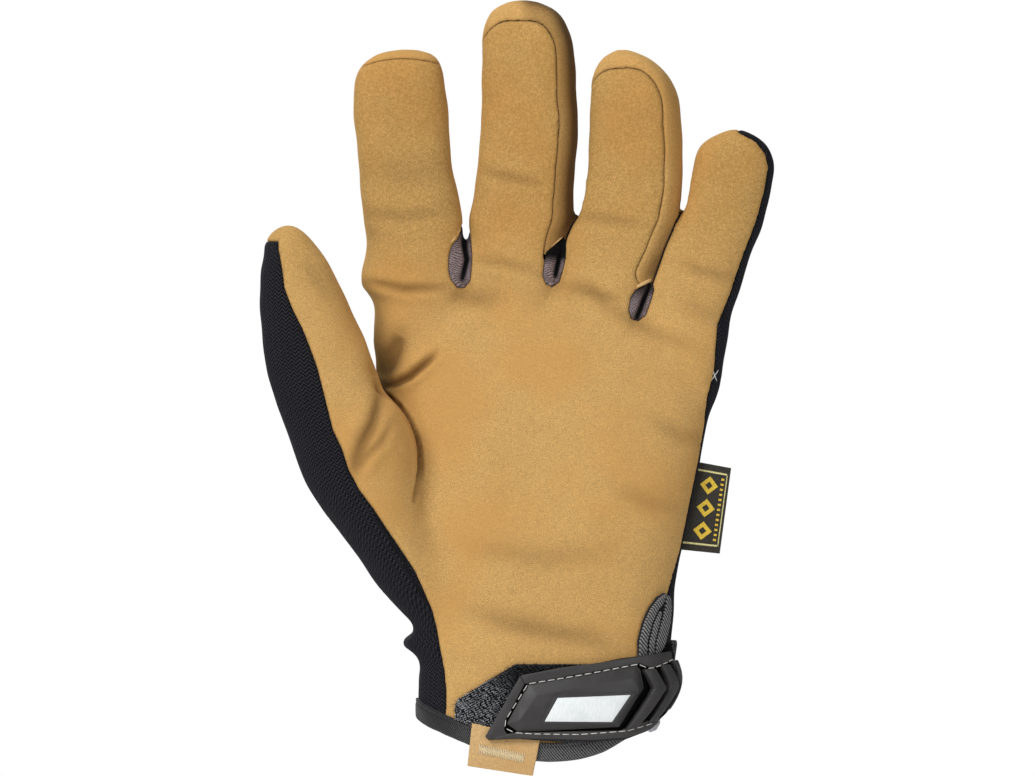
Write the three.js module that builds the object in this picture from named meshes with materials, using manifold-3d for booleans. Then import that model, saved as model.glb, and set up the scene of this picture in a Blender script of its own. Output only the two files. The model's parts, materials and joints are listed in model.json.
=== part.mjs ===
// Left-hand mechanic glove, filled out as when worn, standing on its wrist.
// Millimetres, +Z up. The palm faces -Y, the thumb is on the -X side, the fingers point up.
import * as THREE from 'three';
import { mergeVertices } from 'three/addons/utils/BufferGeometryUtils.js';
import Module from 'manifold-3d';

const wasm = await Module();
wasm.setup();

// Driving sizes
const WALL = 1.6;
const GAP = 0.3;
const FAR = 140;
const MERGE_DISTANCE = 1e-4;
const PALM_POINTS = 28;
const FINGER_POINTS = 14;
const PALM_SQUARENESS = 2.5;
const FINGER_SQUARENESS = 2.9;
const THUMB_SQUARENESS = 2.4;
const TIP_STEPS = 3;
const TIP_REACH = 74;
const TIP_SQUARENESS = 2.3;

// Wrist hem and its binding
const HEM_SIDE_HEIGHT = 12;
const HEM_FRONT_DIP = 17.5;
const HEM_BACK_DIP = 8;
const HEM_DEPTH = 20.5;
const HEM_PASSES = 6;
const HEM_SPAN = 30;
const HEM_STEP = 3;
const BINDING_HEIGHT = 6.5;
const BINDING_PROUD = 0.9;
const BINDING_CLEARANCE = 0.9;

// Heights over the palm surface of what lies on the wrist
const PATCH_TOP = 1.5;
const TAB_BOTTOM = 1.8;
const TAB_TOP = 3;
const STRAP_TOP = 4.6;
const STRAP_FRAME_TOP = 5.4;
const STRAP_WRAP_TOP = 2.6;
const PLATE_BOTTOM = 4;
const PLATE_TOP = 5.7;
const CHEVRON_FLOOR = 3.4;
const WEBBING_TOP = 1.8;
const WEBBING_GROOVE_FLOOR = 1;

// Side seams of the panels
const FINGER_FRONT_EDGE = 2.8;
const FINGER_BACK_EDGE = 3.6;
const PALM_SEAM_LEFT = 4;
const PALM_SEAM_RIGHT = -7;
const PALM_HALF_SPAN = 57;
const THUMB_SEAM_BACK = 4;
const THUMB_WRAP_HEIGHT = 160;

// Palm and wrist, from the hem up: outline left and right, middle and half of the depth
const PALM_ROWS = [
  { z: -14, left: -40, right: 31, middle: 1, half: 19 },
  { z: 2, left: -41, right: 34, middle: 1, half: 20 },
  { z: 12, left: -42, right: 37, middle: 1, half: 20.5 },
  { z: 24, left: -42, right: 38, middle: 1, half: 20.5 },
  { z: 31, left: -44.5, right: 38, middle: 0.5, half: 20.3 },
  { z: 34.5, left: -47, right: 37.5, middle: 0.5, half: 20.2 },
  { z: 38, left: -44.3, right: 37.5, middle: 0.5, half: 20 },
  { z: 50, left: -46, right: 40, middle: 0, half: 19.7 },
  { z: 85, left: -51, right: 48, middle: -0.8, half: 18.8 },
  { z: 103, left: -53.5, right: 51, middle: -0.6, half: 17.6 },
  { z: 118, left: -56, right: 54, middle: -0.2, half: 15.6 },
  { z: 129, left: -57, right: 56, middle: 0.2, half: 13.6 },
  { z: 137, left: -56.8, right: 56.5, middle: 0.5, half: 12.4 },
];
const PALM_TIP_HEIGHT = 12;
const PALM_FRONT_DEPTH = 12;

// Broad hollows of the palm side: middle, reach across and up, depth
const PALM_HOLLOWS = [
  { x: -4, z: 92, reachX: 24, reachZ: 24, depth: 2.6 },
  { x: 2, z: 41, reachX: 26, reachZ: 8, depth: 1.2 },
];

// Fingers from root to tip: outline left and right, middle and half of the depth, dent of the front
const INDEX_ROWS = [
  { z: 126, left: -54, right: -27, middle: 1, half: 11.5 },
  { z: 143, left: -56.6, right: -26, middle: 0.5, half: 11.6 },
  { z: 147, left: -59, right: -25.6, middle: 0.5, half: 11.6, dent: 1.2 },
  { z: 152, left: -60.8, right: -26, middle: 0.3, half: 11.5 },
  { z: 171, left: -59.8, right: -28, middle: -0.5, half: 11, dent: 1.4 },
  { z: 185, left: -61, right: -31, middle: -2, half: 10.6 },
  { z: 203, left: -62.8, right: -32.6, middle: -4.5, half: 10.2 },
  { z: 213, left: -62.9, right: -33.8, middle: -6.2, half: 9.8 },
];
const MIDDLE_ROWS = [
  { z: 126, left: -25, right: 4, middle: 2, half: 12 },
  { z: 145, left: -26.2, right: 4.8, middle: 2, half: 12 },
  { z: 164, left: -26, right: 7.6, middle: 1, half: 11.3 },
  { z: 183, left: -23.6, right: 8.6, middle: -1.3, half: 10.9, dent: 1.3 },
  { z: 194, left: -22.3, right: 9.7, middle: -2.5, half: 10.8 },
  { z: 210, left: -21.5, right: 9.5, middle: -4.7, half: 10.5 },
  { z: 228, left: -21.5, right: 7.8, middle: -7, half: 9.8 },
];
const RING_ROWS = [
  { z: 126, left: 3.5, right: 32, middle: 1, half: 11.5 },
  { z: 142, left: 3, right: 33.4, middle: 1, half: 11.5 },
  { z: 157, left: 5.8, right: 38.2, middle: 0, half: 11.1 },
  { z: 172, left: 9.4, right: 43, middle: -2, half: 10.8, dent: 1.3 },
  { z: 191, left: 12.8, right: 43.6, middle: -4.8, half: 10.4 },
  { z: 211, left: 13.6, right: 41.8, middle: -7.6, half: 9.8 },
];
const PINKY_ROWS = [
  { z: 116, left: 30, right: 54, middle: 0.6, half: 10.4 },
  { z: 129, left: 31.6, right: 58.3, middle: 0.4, half: 11 },
  { z: 156, left: 37, right: 65.2, middle: -0.7, half: 10.3, dent: 1.2 },
  { z: 166, left: 40.6, right: 68.4, middle: -1.6, half: 10 },
  { z: 178, left: 45.2, right: 71.8, middle: -3, half: 9.7 },
  { z: 189, left: 48, right: 73.2, middle: -4.6, half: 9 },
];
const THUMB_ROWS = [
  { z: 26, left: -38, right: -24, middle: 2, half: 12 },
  { z: 40, left: -45.2, right: -26, middle: 0, half: 15.5 },
  { z: 54, left: -56.6, right: -30, middle: -2.5, half: 17.4 },
  { z: 70, left: -68.3, right: -36, middle: -6.5, half: 18 },
  { z: 83, left: -77.4, right: -39, middle: -10.5, half: 17.8 },
  { z: 96, left: -82.8, right: -41.5, middle: -14, half: 17 },
  { z: 109, left: -87.4, right: -46, middle: -17, half: 16, dent: 1.6 },
  { z: 135, left: -93.3, right: -60.8, middle: -21.3, half: 13.8 },
  { z: 156, left: -93, right: -71, middle: -23.4, half: 11.2 },
];

const LIMBS = {
  index: { rows: INDEX_ROWS, tip: 12.5, twist: 0, right: 'indexMiddle' },
  middle: { rows: MIDDLE_ROWS, tip: 14.5, twist: 17, left: 'indexMiddle', right: 'middleRing' },
  ring: { rows: RING_ROWS, tip: 15.5, twist: 16, left: 'middleRing', right: 'ringPinky' },
  pinky: { rows: PINKY_ROWS, tip: 12, twist: 0, left: 'ringPinky' },
  thumb: { rows: THUMB_ROWS, tip: 12, squareness: THUMB_SQUARENESS, twist: 0 },
};

// Lines that keep neighbouring fingers apart, as x at two heights
const DIVIDER_LOW = 140;
const DIVIDER_HIGH = 176;
const DIVIDER_SLOT = 0.5;
const DIVIDERS = {
  indexMiddle: { low: -26.3, high: -26.7 },
  middleRing: { low: 3.9, high: 9 },
  ringPinky: { low: 33.1, high: 44.2 },
};

// How the knuckle line falls away toward the little finger
const KNUCKLE_SLANT = 0.22;
const KNUCKLE_SLANT_FROM = 5;
const KNUCKLE_SLANT_LOW = 100;
const KNUCKLE_SLANT_HIGH = 136;

// Where the black back meets the tan front on the thumb side
const THUMB_EDGE = [
  { z: -30, x: -33 },
  { z: 18, x: -33.2 },
  { z: 37, x: -36 },
  { z: 50, x: -40.3 },
  { z: 63, x: -47.5 },
  { z: 76, x: -56.2 },
  { z: 89, x: -64.4 },
  { z: 102, x: -69.6 },
  { z: 122, x: -74.4 },
  { z: 135, x: -79.3 },
  { z: 148, x: -85 },
  { z: THUMB_WRAP_HEIGHT, x: -86.5 },
];

// Leaf-shaped gussets in the finger crotches: middle, half width, height,
// shift to the right per mm going up, and depth of the front face
const GUSSETS = [
  { name: 'finger_gusset_1', x: -26.6, z: 155.5, half: 3.6, height: 17, lean: 0, front: -9.4 },
  { name: 'finger_gusset_2', x: 5.4, z: 157, half: 3.6, height: 17, lean: 0.14, front: -9.2 },
  { name: 'finger_gusset_3', x: 34.4, z: 144.5, half: 3.6, height: 15, lean: 0.3, front: -9.6 },
];
const GUSSET_THICKNESS = 1.8;
const GUSSET_POINTS = 12;
const GUSSET_POINTEDNESS = 1.3;

// Outlines on the palm side, as x and z
const PATCH_OUTLINE = [
  [-31.5, 11.5], [-30, 15.5], [-10.7, 26.6], [13.5, 26.6], [13.5, 9], [-12, 5], [-21.5, 5.7],
];
const TAB_OUTLINE = [[-24.7, 8], [-26.3, -7.2], [-4.9, -10], [-2.6, 6]];
const STRAP_OUTLINE = [
  [-20.5, 3.6], [-9.2, 23.2], [13.3, 26.4], [20.8, 27.6], [28.6, 29.6], [38, 34],
  [60, 34], [60, 12.4], [41, 12.4], [37, 8.6], [28, 4.2], [13.3, 2.2], [-4.9, 1.7],
];
const STRAP_FRAME_OUTLINE = [
  [-13, 5.2], [-5.2, 18.6], [4, 21.2], [27.6, 23.4], [31, 18.4], [23.6, 6.8], [10.7, 4.4],
];
const PLATE_OUTLINE = [[-1.3, 8.6], [2.4, 15.8], [25.6, 16.9], [20.6, 8.9]];
const WEBBING_OUTLINE = [
  [30.2, 26], [30.4, 31], [32.1, 40.3], [35.1, 45.5], [40.3, 49.4],
  [46, 47], [46, 42.5], [40.4, 36.4], [39.3, 26],
];
const WEBBING_GROOVE = [
  [33.2, 26], [33.4, 33], [35, 39.4], [38, 44.2], [46, 47],
  [46, 45.7], [38.9, 43.2], [36.1, 38.6], [34.7, 33], [34.5, 26],
];

// Chevron grooves of the strap: an arrow head that points to the little-finger edge
const CHEVRON = { topX: 29.2, topZ: 26.2, tipX: 33.4, tipZ: 18.6, footX: 23.4, footZ: 3, width: 2.6 };
const CHEVRON_SHIFTS = [{ x: 0, z: 0 }, { x: 5.6, z: 1.6 }];

// Label sewn into the side seam
const LABEL_OUTLINE = [[46, 92.2], [59.5, 90], [55.6, 62.4], [40, 64.6]];
const LABEL_MIDDLE = -3;
const LABEL_THICKNESS = 1;

// The strap goes round the little-finger edge to a plain sewn stretch on the back
const WRAP = { frontY: -6, backLeft: 14, edgeLeft: 38, right: 60, top: 34, bottom: 12.4 };

const COLOURS = {
  suede: { colour: 0xc39a5c, roughness: 0.92 },
  wall: { colour: 0xb08a55, roughness: 0.92 },
  knit: { colour: 0x242429, roughness: 0.95 },
  gusset: { colour: 0x4b4345, roughness: 0.95 },
  heather: { colour: 0x484645, roughness: 0.95 },
  loop: { colour: 0x3c3e40, roughness: 0.98 },
  rubber: { colour: 0x3d3a38, roughness: 0.55 },
  white: { colour: 0xe8eeef, roughness: 0.45 },
  webbing: { colour: 0x48494a, roughness: 0.9 },
  label: { colour: 0x1d1d1f, roughness: 0.8 },
};

// General helpers
const radians = THREE.MathUtils.degToRad;

function power(value, exponent) {
  return Math.sign(value) * Math.abs(value) ** exponent;
}

function between(rows, height, key) {
  const last = rows[rows.length - 1];
  if (height <= rows[0].z) return rows[0][key];
  if (height >= last.z) return last[key];
  const upper = rows.findIndex((row) => row.z >= height);
  const low = rows[upper - 1];
  const high = rows[upper];
  return low[key] + (high[key] - low[key]) * (height - low.z) / (high.z - low.z);
}

function solidOf(geometry) {
  geometry.deleteAttribute('normal');
  geometry.deleteAttribute('uv');
  const merged = mergeVertices(geometry, MERGE_DISTANCE);
  return new wasm.Manifold(new wasm.Mesh({
    numProp: 3,
    vertProperties: Float32Array.from(merged.attributes.position.array),
    triVerts: Uint32Array.from(merged.index.array),
  }));
}

function solidFrom(positions, triangles) {
  const geometry = new THREE.BufferGeometry();
  geometry.setAttribute('position', new THREE.Float32BufferAttribute(positions, 3));
  geometry.setIndex(triangles);
  return solidOf(geometry);
}

// A closed solid through rings of equal length that run counter-clockwise seen from above
function loft(rings) {
  const count = rings[0].length;
  const positions = rings.flat(2);
  const triangles = [];
  for (let level = 0; level < rings.length - 1; level += 1) {
    for (let step = 0; step < count; step += 1) {
      const next = (step + 1) % count;
      const a = level * count + step;
      const b = level * count + next;
      const c = a + count;
      const d = b + count;
      triangles.push(a, b, d, a, d, c);
    }
  }
  for (const level of [0, rings.length - 1]) {
    const ring = rings[level];
    const centre = [0, 1, 2].map((axis) => ring.reduce((sum, point) => sum + point[axis], 0) / count);
    const middle = positions.length / 3;
    positions.push(...centre);
    for (let step = 0; step < count; step += 1) {
      const a = level * count + step;
      const b = level * count + (step + 1) % count;
      triangles.push(...(level === 0 ? [middle, b, a] : [middle, a, b]));
    }
  }
  return solidFrom(positions, triangles);
}

// One level outline: a rounded box turned by twist and fitted between left and right
function sectionRing({ left, right, middle, half, z, dent = 0 }, grow, count, squareness, twist, shrink = 1) {
  const wide = (right - left) / 2;
  const turn = radians(twist);
  const exponent = 2 / squareness;
  const points = [];
  for (let step = 0; step < count; step += 1) {
    const angle = 2 * Math.PI * step / count;
    const u = wide * power(Math.cos(angle), exponent);
    const v = half * power(Math.sin(angle), exponent);
    points.push([u * Math.cos(turn) + v * Math.sin(turn), v * Math.cos(turn) - u * Math.sin(turn)]);
  }
  const reach = Math.max(...points.map((point) => point[0]));
  const depth = Math.max(...points.map((point) => point[1]));
  const stretchX = shrink * (wide + grow) / reach;
  const stretchY = shrink * (depth + grow) / depth;
  const centre = (left + right) / 2;
  return points.map(([x, y]) => {
    const dented = dent * Math.max(0, -y / depth);
    return [centre + x * stretchX, middle + y * stretchY + shrink * dented, z];
  });
}

// A tube through the rows with a rounded end
function limbSolid(limb, grow, count = FINGER_POINTS, bend = (point) => point) {
  const { rows, tip, squareness = FINGER_SQUARENESS, twist } = limb;
  const rings = rows.map((row) => sectionRing(row, grow, count, squareness, twist));
  const last = rows[rows.length - 1];
  const before = rows[rows.length - 2];
  const drift = (last.middle - before.middle) / (last.z - before.z);
  for (let step = 1; step <= TIP_STEPS; step += 1) {
    const angle = radians(TIP_REACH * step / TIP_STEPS);
    const rise = (tip + grow) * power(Math.sin(angle), 2 / TIP_SQUARENESS);
    const row = { ...last, z: last.z + rise, middle: last.middle + drift * rise };
    const shrink = power(Math.cos(angle), 2 / TIP_SQUARENESS);
    rings.push(sectionRing(row, grow, count, squareness, twist, shrink));
  }
  return loft(rings.map((ring) => ring.map(bend)));
}

// Presses the front of the palm in, and leaves its sides and back
function palmHollow([x, y, z]) {
  const front = THREE.MathUtils.smoothstep(-y, 0, PALM_FRONT_DEPTH);
  const press = PALM_HOLLOWS.reduce((sum, hollowRow) => {
    const across = (x - hollowRow.x) / hollowRow.reachX;
    const up = (z - hollowRow.z) / hollowRow.reachZ;
    return sum + hollowRow.depth * Math.exp(-across * across - up * up);
  }, 0);
  return [x, y + front * press, z];
}

function knuckleSlant([x, y, z]) {
  const share = THREE.MathUtils.smoothstep(z, KNUCKLE_SLANT_LOW, KNUCKLE_SLANT_HIGH);
  return [x, y, z - share * KNUCKLE_SLANT * Math.max(0, x - KNUCKLE_SLANT_FROM)];
}

function palmSolid(grow) {
  const palm = { rows: PALM_ROWS, tip: PALM_TIP_HEIGHT, squareness: PALM_SQUARENESS, twist: 0 };
  return limbSolid(palm, grow, PALM_POINTS, (point) => knuckleSlant(palmHollow(point)));
}

// The stretch of a limb between two depths of its own turned frame
function depthSlab({ rows, twist, tip }, nearEdge, farEdge) {
  const turn = radians(twist);
  const last = rows[rows.length - 1];
  const drift = (last.middle - rows[rows.length - 2].middle) / (last.z - rows[rows.length - 2].z);
  const above = { ...last, z: last.z + tip * 2, middle: last.middle + drift * tip * 2 };
  const below = { ...rows[0], z: rows[0].z - tip };
  const rings = [below, ...rows, above].map((row) => {
    const centre = (row.left + row.right) / 2;
    const near = nearEdge(row.half);
    const far = farEdge(row.half);
    const corners = [[-FAR, near], [FAR, near], [FAR, far], [-FAR, far]];
    return corners.map(([u, v]) => [
      centre + u * Math.cos(turn) + v * Math.sin(turn),
      row.middle + v * Math.cos(turn) - u * Math.sin(turn),
      row.z,
    ]);
  });
  return loft(rings);
}

// A straight prism along Y over an outline of x and z
function prism(outline, nearY, farY) {
  const shape = new THREE.Shape(outline.map(([x, z]) => new THREE.Vector2(x, z)));
  const geometry = new THREE.ExtrudeGeometry(shape, { depth: farY - nearY, bevelEnabled: false });
  geometry.rotateX(Math.PI / 2);
  geometry.translate(0, farY, 0);
  return solidOf(geometry);
}

function growOutline(outline, by) {
  const count = outline.length;
  const area = outline.reduce((sum, [x, z], step) => {
    const [nextX, nextZ] = outline[(step + 1) % count];
    return sum + x * nextZ - nextX * z;
  }, 0);
  const side = Math.sign(area);
  const normal = ([x0, z0], [x1, z1]) => {
    const length = Math.hypot(x1 - x0, z1 - z0);
    return [side * (z1 - z0) / length, side * (x0 - x1) / length];
  };
  return outline.map((point, step) => {
    const a = normal(outline[(step + count - 1) % count], point);
    const b = normal(point, outline[(step + 1) % count]);
    const scale = by / (1 + a[0] * b[0] + a[1] * b[1]);
    return [point[0] + (a[0] + b[0]) * scale, point[1] + (a[1] + b[1]) * scale];
  });
}

// What lies on the palm surface between two heights over it
function layer(low, high) {
  return palmSolid(high).subtract(palmSolid(low));
}

function onPalm(outline, low, high) {
  return layer(low, high).intersect(prism(outline, -FAR, 0));
}

function box(left, right, bottom, top) {
  return [[left, bottom], [right, bottom], [right, top], [left, top]];
}

// Seam surfaces
function hemHeight(y) {
  const dip = y < 0 ? HEM_FRONT_DIP : HEM_BACK_DIP;
  return HEM_SIDE_HEIGHT - dip * (y / HEM_DEPTH) ** 2;
}

// Everything under a line that follows the hem
function belowHem(lift) {
  const outline = [];
  for (let y = -HEM_SPAN; y <= HEM_SPAN; y += HEM_STEP) outline.push([y, hemHeight(y) + lift]);
  outline.push([HEM_SPAN, -FAR], [-HEM_SPAN, -FAR]);
  const shape = new THREE.Shape(outline.map(([y, z]) => new THREE.Vector2(y, z)));
  const geometry = new THREE.ExtrudeGeometry(shape, { depth: 2 * FAR, bevelEnabled: false });
  geometry.applyMatrix4(new THREE.Matrix4().makeBasis(
    new THREE.Vector3(0, 1, 0),
    new THREE.Vector3(0, 0, 1),
    new THREE.Vector3(1, 0, 0),
  ));
  geometry.translate(-FAR, 0, 0);
  return solidOf(geometry);
}

// The palm side of a slanted plane between the front and the back
function seamSide(offset) {
  const slope = (PALM_SEAM_RIGHT - PALM_SEAM_LEFT) / (2 * PALM_HALF_SPAN);
  const middle = (PALM_SEAM_LEFT + PALM_SEAM_RIGHT) / 2;
  const edge = (x) => middle + slope * x + offset;
  const ring = (z) => [[-FAR, -FAR, z], [FAR, -FAR, z], [FAR, edge(FAR), z], [-FAR, edge(-FAR), z]];
  return loft([ring(-FAR), ring(FAR * 2)]);
}

// Everything on the thumb side of the black edge
function beyondThumbEdge(offset) {
  const outline = THUMB_EDGE.map(({ z, x }) => [x + offset, z + (z === THUMB_WRAP_HEIGHT ? offset : 0)]);
  outline.push([-FAR, THUMB_WRAP_HEIGHT + offset], [-FAR, -30]);
  return prism(outline, -FAR, FAR);
}

function leafOutline({ x, z, half, height, lean }) {
  const points = [];
  for (let step = 0; step < GUSSET_POINTS; step += 1) {
    const angle = 2 * Math.PI * step / GUSSET_POINTS;
    const up = height / 2 * Math.sin(angle);
    points.push([x + half * power(Math.cos(angle), GUSSET_POINTEDNESS) + up * lean, z + up]);
  }
  return points;
}

// One finger or the thumb, kept clear of its neighbours
function dividerX(name, height) {
  const { low, high } = DIVIDERS[name];
  return low + (high - low) * (height - DIVIDER_LOW) / (DIVIDER_HIGH - DIVIDER_LOW);
}

function limbOf(name, grow) {
  const limb = LIMBS[name];
  const inset = DIVIDER_SLOT / 2 - grow;
  const left = (height) => (limb.left ? dividerX(limb.left, height) + inset : -FAR);
  const right = (height) => (limb.right ? dividerX(limb.right, height) - inset : FAR);
  const top = FAR * 2;
  const room = prism([[left(0), 0], [right(0), 0], [right(top), top], [left(top), top]], -FAR, FAR);
  return limbSolid(limb, grow).intersect(room);
}

function unite(solids) {
  return solids.reduce((sum, solid) => sum.add(solid));
}

// Shell of the whole glove
const walledFingers = ['index', 'middle', 'ring'];
const limbNames = Object.keys(LIMBS);
const wristCut = belowHem(BINDING_HEIGHT + BINDING_CLEARANCE);
const outside = unite([palmSolid(0), ...limbNames.map((name) => limbOf(name, 0))]);
const hollow = unite([palmSolid(-WALL), ...limbNames.map((name) => limbOf(name, -WALL))]);
const shell = outside.subtract(hollow).subtract(wristCut);

// The regions that the panels take, grown by the gap where a neighbour is cut back
function frontEdge(half) {
  return FINGER_FRONT_EDGE - half;
}

function backEdge(half) {
  return half - FINGER_BACK_EDGE;
}

function frontRegion(grow) {
  const hand = unite([palmSolid(grow), limbOf('pinky', grow)]).intersect(seamSide(grow));
  const thumbSlab = depthSlab(LIMBS.thumb, () => -FAR, () => THUMB_SEAM_BACK + grow);
  const thumb = limbOf('thumb', grow).intersect(thumbSlab);
  const fingers = walledFingers.map((name) => {
    const slab = depthSlab(LIMBS[name], () => -FAR, (half) => frontEdge(half) + grow);
    return limbOf(name, grow).intersect(slab);
  });
  return unite([hand, thumb]).subtract(beyondThumbEdge(-grow)).add(unite(fingers));
}

function wallRegion(name, grow) {
  const slab = depthSlab(
    LIMBS[name],
    (half) => frontEdge(half) - grow,
    (half) => backEdge(half) + grow,
  );
  return limbOf(name, grow).intersect(slab).subtract(palmSolid(GAP - grow));
}

const frontWithGap = frontRegion(GAP);
const palmPanel = shell.intersect(frontRegion(0));
const walls = Object.fromEntries(walledFingers.map((name) => (
  [name, shell.intersect(wallRegion(name, 0)).subtract(frontWithGap)]
)));
const wallsWithGap = unite(walledFingers.map((name) => wallRegion(name, GAP)));
const backPanel = shell.subtract(frontWithGap).subtract(wallsWithGap);

// Gussets
function gusset(row) {
  const leaf = prism(leafOutline(row), row.front, row.front + GUSSET_THICKNESS);
  const neighbours = unite([palmSolid(GAP), ...limbNames.map((name) => limbOf(name, GAP))]);
  return leaf.subtract(neighbours);
}

// Binding round the hem: height over the palm surface and over the hem line, going round its section
const BINDING_PROFILE = [
  { grow: -WALL, rise: 0.8 },
  { grow: -WALL, rise: BINDING_HEIGHT },
  { grow: BINDING_PROUD - 0.5, rise: BINDING_HEIGHT },
  { grow: BINDING_PROUD, rise: BINDING_HEIGHT - 0.8 },
  { grow: BINDING_PROUD, rise: 0.9 },
  { grow: BINDING_PROUD - 0.8, rise: 0 },
  { grow: 0.7 - WALL, rise: 0 },
];

function palmPoint(step, z, grow) {
  const row = { z };
  for (const key of ['left', 'right', 'middle', 'half']) row[key] = between(PALM_ROWS, z, key);
  return palmHollow(sectionRing(row, grow, PALM_POINTS, PALM_SQUARENESS, 0)[step]);
}

// The hem follows the depth that the palm has at the top edge of the binding
function hemAt(step) {
  let hem = 0;
  for (let pass = 0; pass < HEM_PASSES; pass += 1) {
    hem = hemHeight(palmPoint(step, hem + BINDING_HEIGHT, 0)[1]);
  }
  return hem;
}

function cuffBinding() {
  const count = BINDING_PROFILE.length;
  const positions = [];
  const triangles = [];
  for (let step = 0; step < PALM_POINTS; step += 1) {
    const hem = hemAt(step);
    for (const { grow, rise } of BINDING_PROFILE) positions.push(...palmPoint(step, hem + rise, grow));
    const next = (step + 1) % PALM_POINTS;
    for (let side = 0; side < count; side += 1) {
      const over = (side + 1) % count;
      const a = step * count + side;
      const b = next * count + side;
      const c = next * count + over;
      const d = step * count + over;
      triangles.push(a, c, b, a, d, c);
    }
  }
  return solidFrom(positions, triangles);
}

// Pieces on the wrist
const bindingRoom = palmSolid(BINDING_PROUD + GAP).intersect(wristCut);
const loopPatch = onPalm(PATCH_OUTLINE, GAP, PATCH_TOP).subtract(bindingRoom);
const pullTab = onPalm(TAB_OUTLINE, TAB_BOTTOM, TAB_TOP);
const stampPlate = onPalm(PLATE_OUTLINE, PLATE_BOTTOM, PLATE_TOP);

function chevron({ x, z }) {
  const { topX, topZ, tipX, tipZ, footX, footZ, width } = CHEVRON;
  const outline = [
    [topX, topZ], [topX + width, topZ], [tipX + width, tipZ],
    [footX + width, footZ], [footX, footZ], [tipX, tipZ],
  ];
  const moved = outline.map(([pointX, pointZ]) => [pointX + x, pointZ + z]);
  return prism(moved, -FAR, 0).intersect(layer(CHEVRON_FLOOR, STRAP_FRAME_TOP));
}

function closureStrap() {
  const { frontY, backLeft, edgeLeft, right, top, bottom } = WRAP;
  const front = prism(STRAP_OUTLINE, -FAR, frontY);
  const moulded = layer(GAP, STRAP_TOP).intersect(front);
  const frame = layer(GAP, STRAP_FRAME_TOP).intersect(prism(STRAP_FRAME_OUTLINE, -FAR, frontY));
  const edge = prism(box(edgeLeft, right, bottom, top), frontY - 4, FAR);
  const back = prism(box(backLeft, right, bottom, top), 0, FAR);
  const wrap = layer(GAP, STRAP_WRAP_TOP).intersect(edge.add(back));
  const under = [
    bindingRoom,
    palmSolid(PATCH_TOP + GAP).intersect(prism(growOutline(PATCH_OUTLINE, GAP), -FAR, 0)),
    palmSolid(TAB_TOP + GAP).intersect(prism(growOutline(TAB_OUTLINE, GAP), -FAR, 0)),
  ];
  const pocket = layer(PLATE_BOTTOM - GAP, PLATE_TOP + 1)
    .intersect(prism(growOutline(PLATE_OUTLINE, GAP), -FAR, 0));
  const whole = unite([moulded, frame, wrap]);
  return [...under, pocket, ...CHEVRON_SHIFTS.map(chevron)].reduce((sum, cut) => sum.subtract(cut), whole);
}

function slitBinding() {
  const strapRoom = prism(growOutline(STRAP_OUTLINE, GAP), -FAR, FAR);
  const groove = layer(WEBBING_GROOVE_FLOOR, WEBBING_TOP + 1).intersect(prism(WEBBING_GROOVE, -FAR, 0));
  return onPalm(WEBBING_OUTLINE, GAP, WEBBING_TOP).subtract(strapRoom).subtract(groove);
}

function sideLabel() {
  const half = LABEL_THICKNESS / 2;
  return prism(LABEL_OUTLINE, LABEL_MIDDLE - half, LABEL_MIDDLE + half).subtract(palmSolid(GAP));
}

// The glove
const root = new THREE.Group();
root.name = 'mechanic_glove';

function addPiece(name, solid, look) {
  const mesh = solid.getMesh();
  const geometry = new THREE.BufferGeometry();
  geometry.setAttribute('position', new THREE.Float32BufferAttribute(mesh.vertProperties, 3));
  geometry.setIndex(Array.from(mesh.triVerts));
  geometry.computeVertexNormals();
  const { colour, roughness } = COLOURS[look];
  const material = new THREE.MeshStandardMaterial({ color: colour, roughness, metalness: 0 });
  const piece = new THREE.Mesh(geometry, material);
  piece.name = name;
  root.add(piece);
}

addPiece('palm_panel', palmPanel, 'suede');
addPiece('back_panel', backPanel, 'knit');
for (const name of walledFingers) addPiece(`${name}_wall`, walls[name], 'wall');
for (const row of GUSSETS) addPiece(row.name, gusset(row), 'gusset');
addPiece('cuff_binding', cuffBinding(), 'heather');
addPiece('loop_patch', loopPatch, 'loop');
addPiece('pull_tab', pullTab, 'suede');
addPiece('closure_strap', closureStrap(), 'rubber');
addPiece('strap_plate', stampPlate, 'white');
addPiece('slit_binding', slitBinding(), 'webbing');
addPiece('side_label', sideLabel(), 'label');

export default root;
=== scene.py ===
"""Left-hand mechanic glove: suede palm, knit back and a moulded wrist strap."""
import json
import math
import bpy
import numpy as np
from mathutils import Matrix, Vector, kdtree

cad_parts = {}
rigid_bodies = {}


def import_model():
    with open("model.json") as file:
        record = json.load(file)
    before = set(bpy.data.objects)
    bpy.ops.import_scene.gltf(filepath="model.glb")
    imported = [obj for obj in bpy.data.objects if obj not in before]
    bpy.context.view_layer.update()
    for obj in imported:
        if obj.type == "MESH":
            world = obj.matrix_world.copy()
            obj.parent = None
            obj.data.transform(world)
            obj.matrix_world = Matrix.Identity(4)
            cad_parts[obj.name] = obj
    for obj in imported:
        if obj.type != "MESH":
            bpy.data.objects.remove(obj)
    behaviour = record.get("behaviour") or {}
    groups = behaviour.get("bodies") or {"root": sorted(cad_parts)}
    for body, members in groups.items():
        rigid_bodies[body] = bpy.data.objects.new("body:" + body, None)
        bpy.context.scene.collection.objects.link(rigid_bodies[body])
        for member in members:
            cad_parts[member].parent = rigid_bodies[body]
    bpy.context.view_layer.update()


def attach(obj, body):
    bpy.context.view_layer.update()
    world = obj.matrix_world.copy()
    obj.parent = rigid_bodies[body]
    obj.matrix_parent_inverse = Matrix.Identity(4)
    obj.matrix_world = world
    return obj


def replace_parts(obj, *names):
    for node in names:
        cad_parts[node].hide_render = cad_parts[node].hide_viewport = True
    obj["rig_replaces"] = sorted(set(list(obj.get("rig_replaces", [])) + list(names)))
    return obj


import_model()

MM = 0.001

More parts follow.
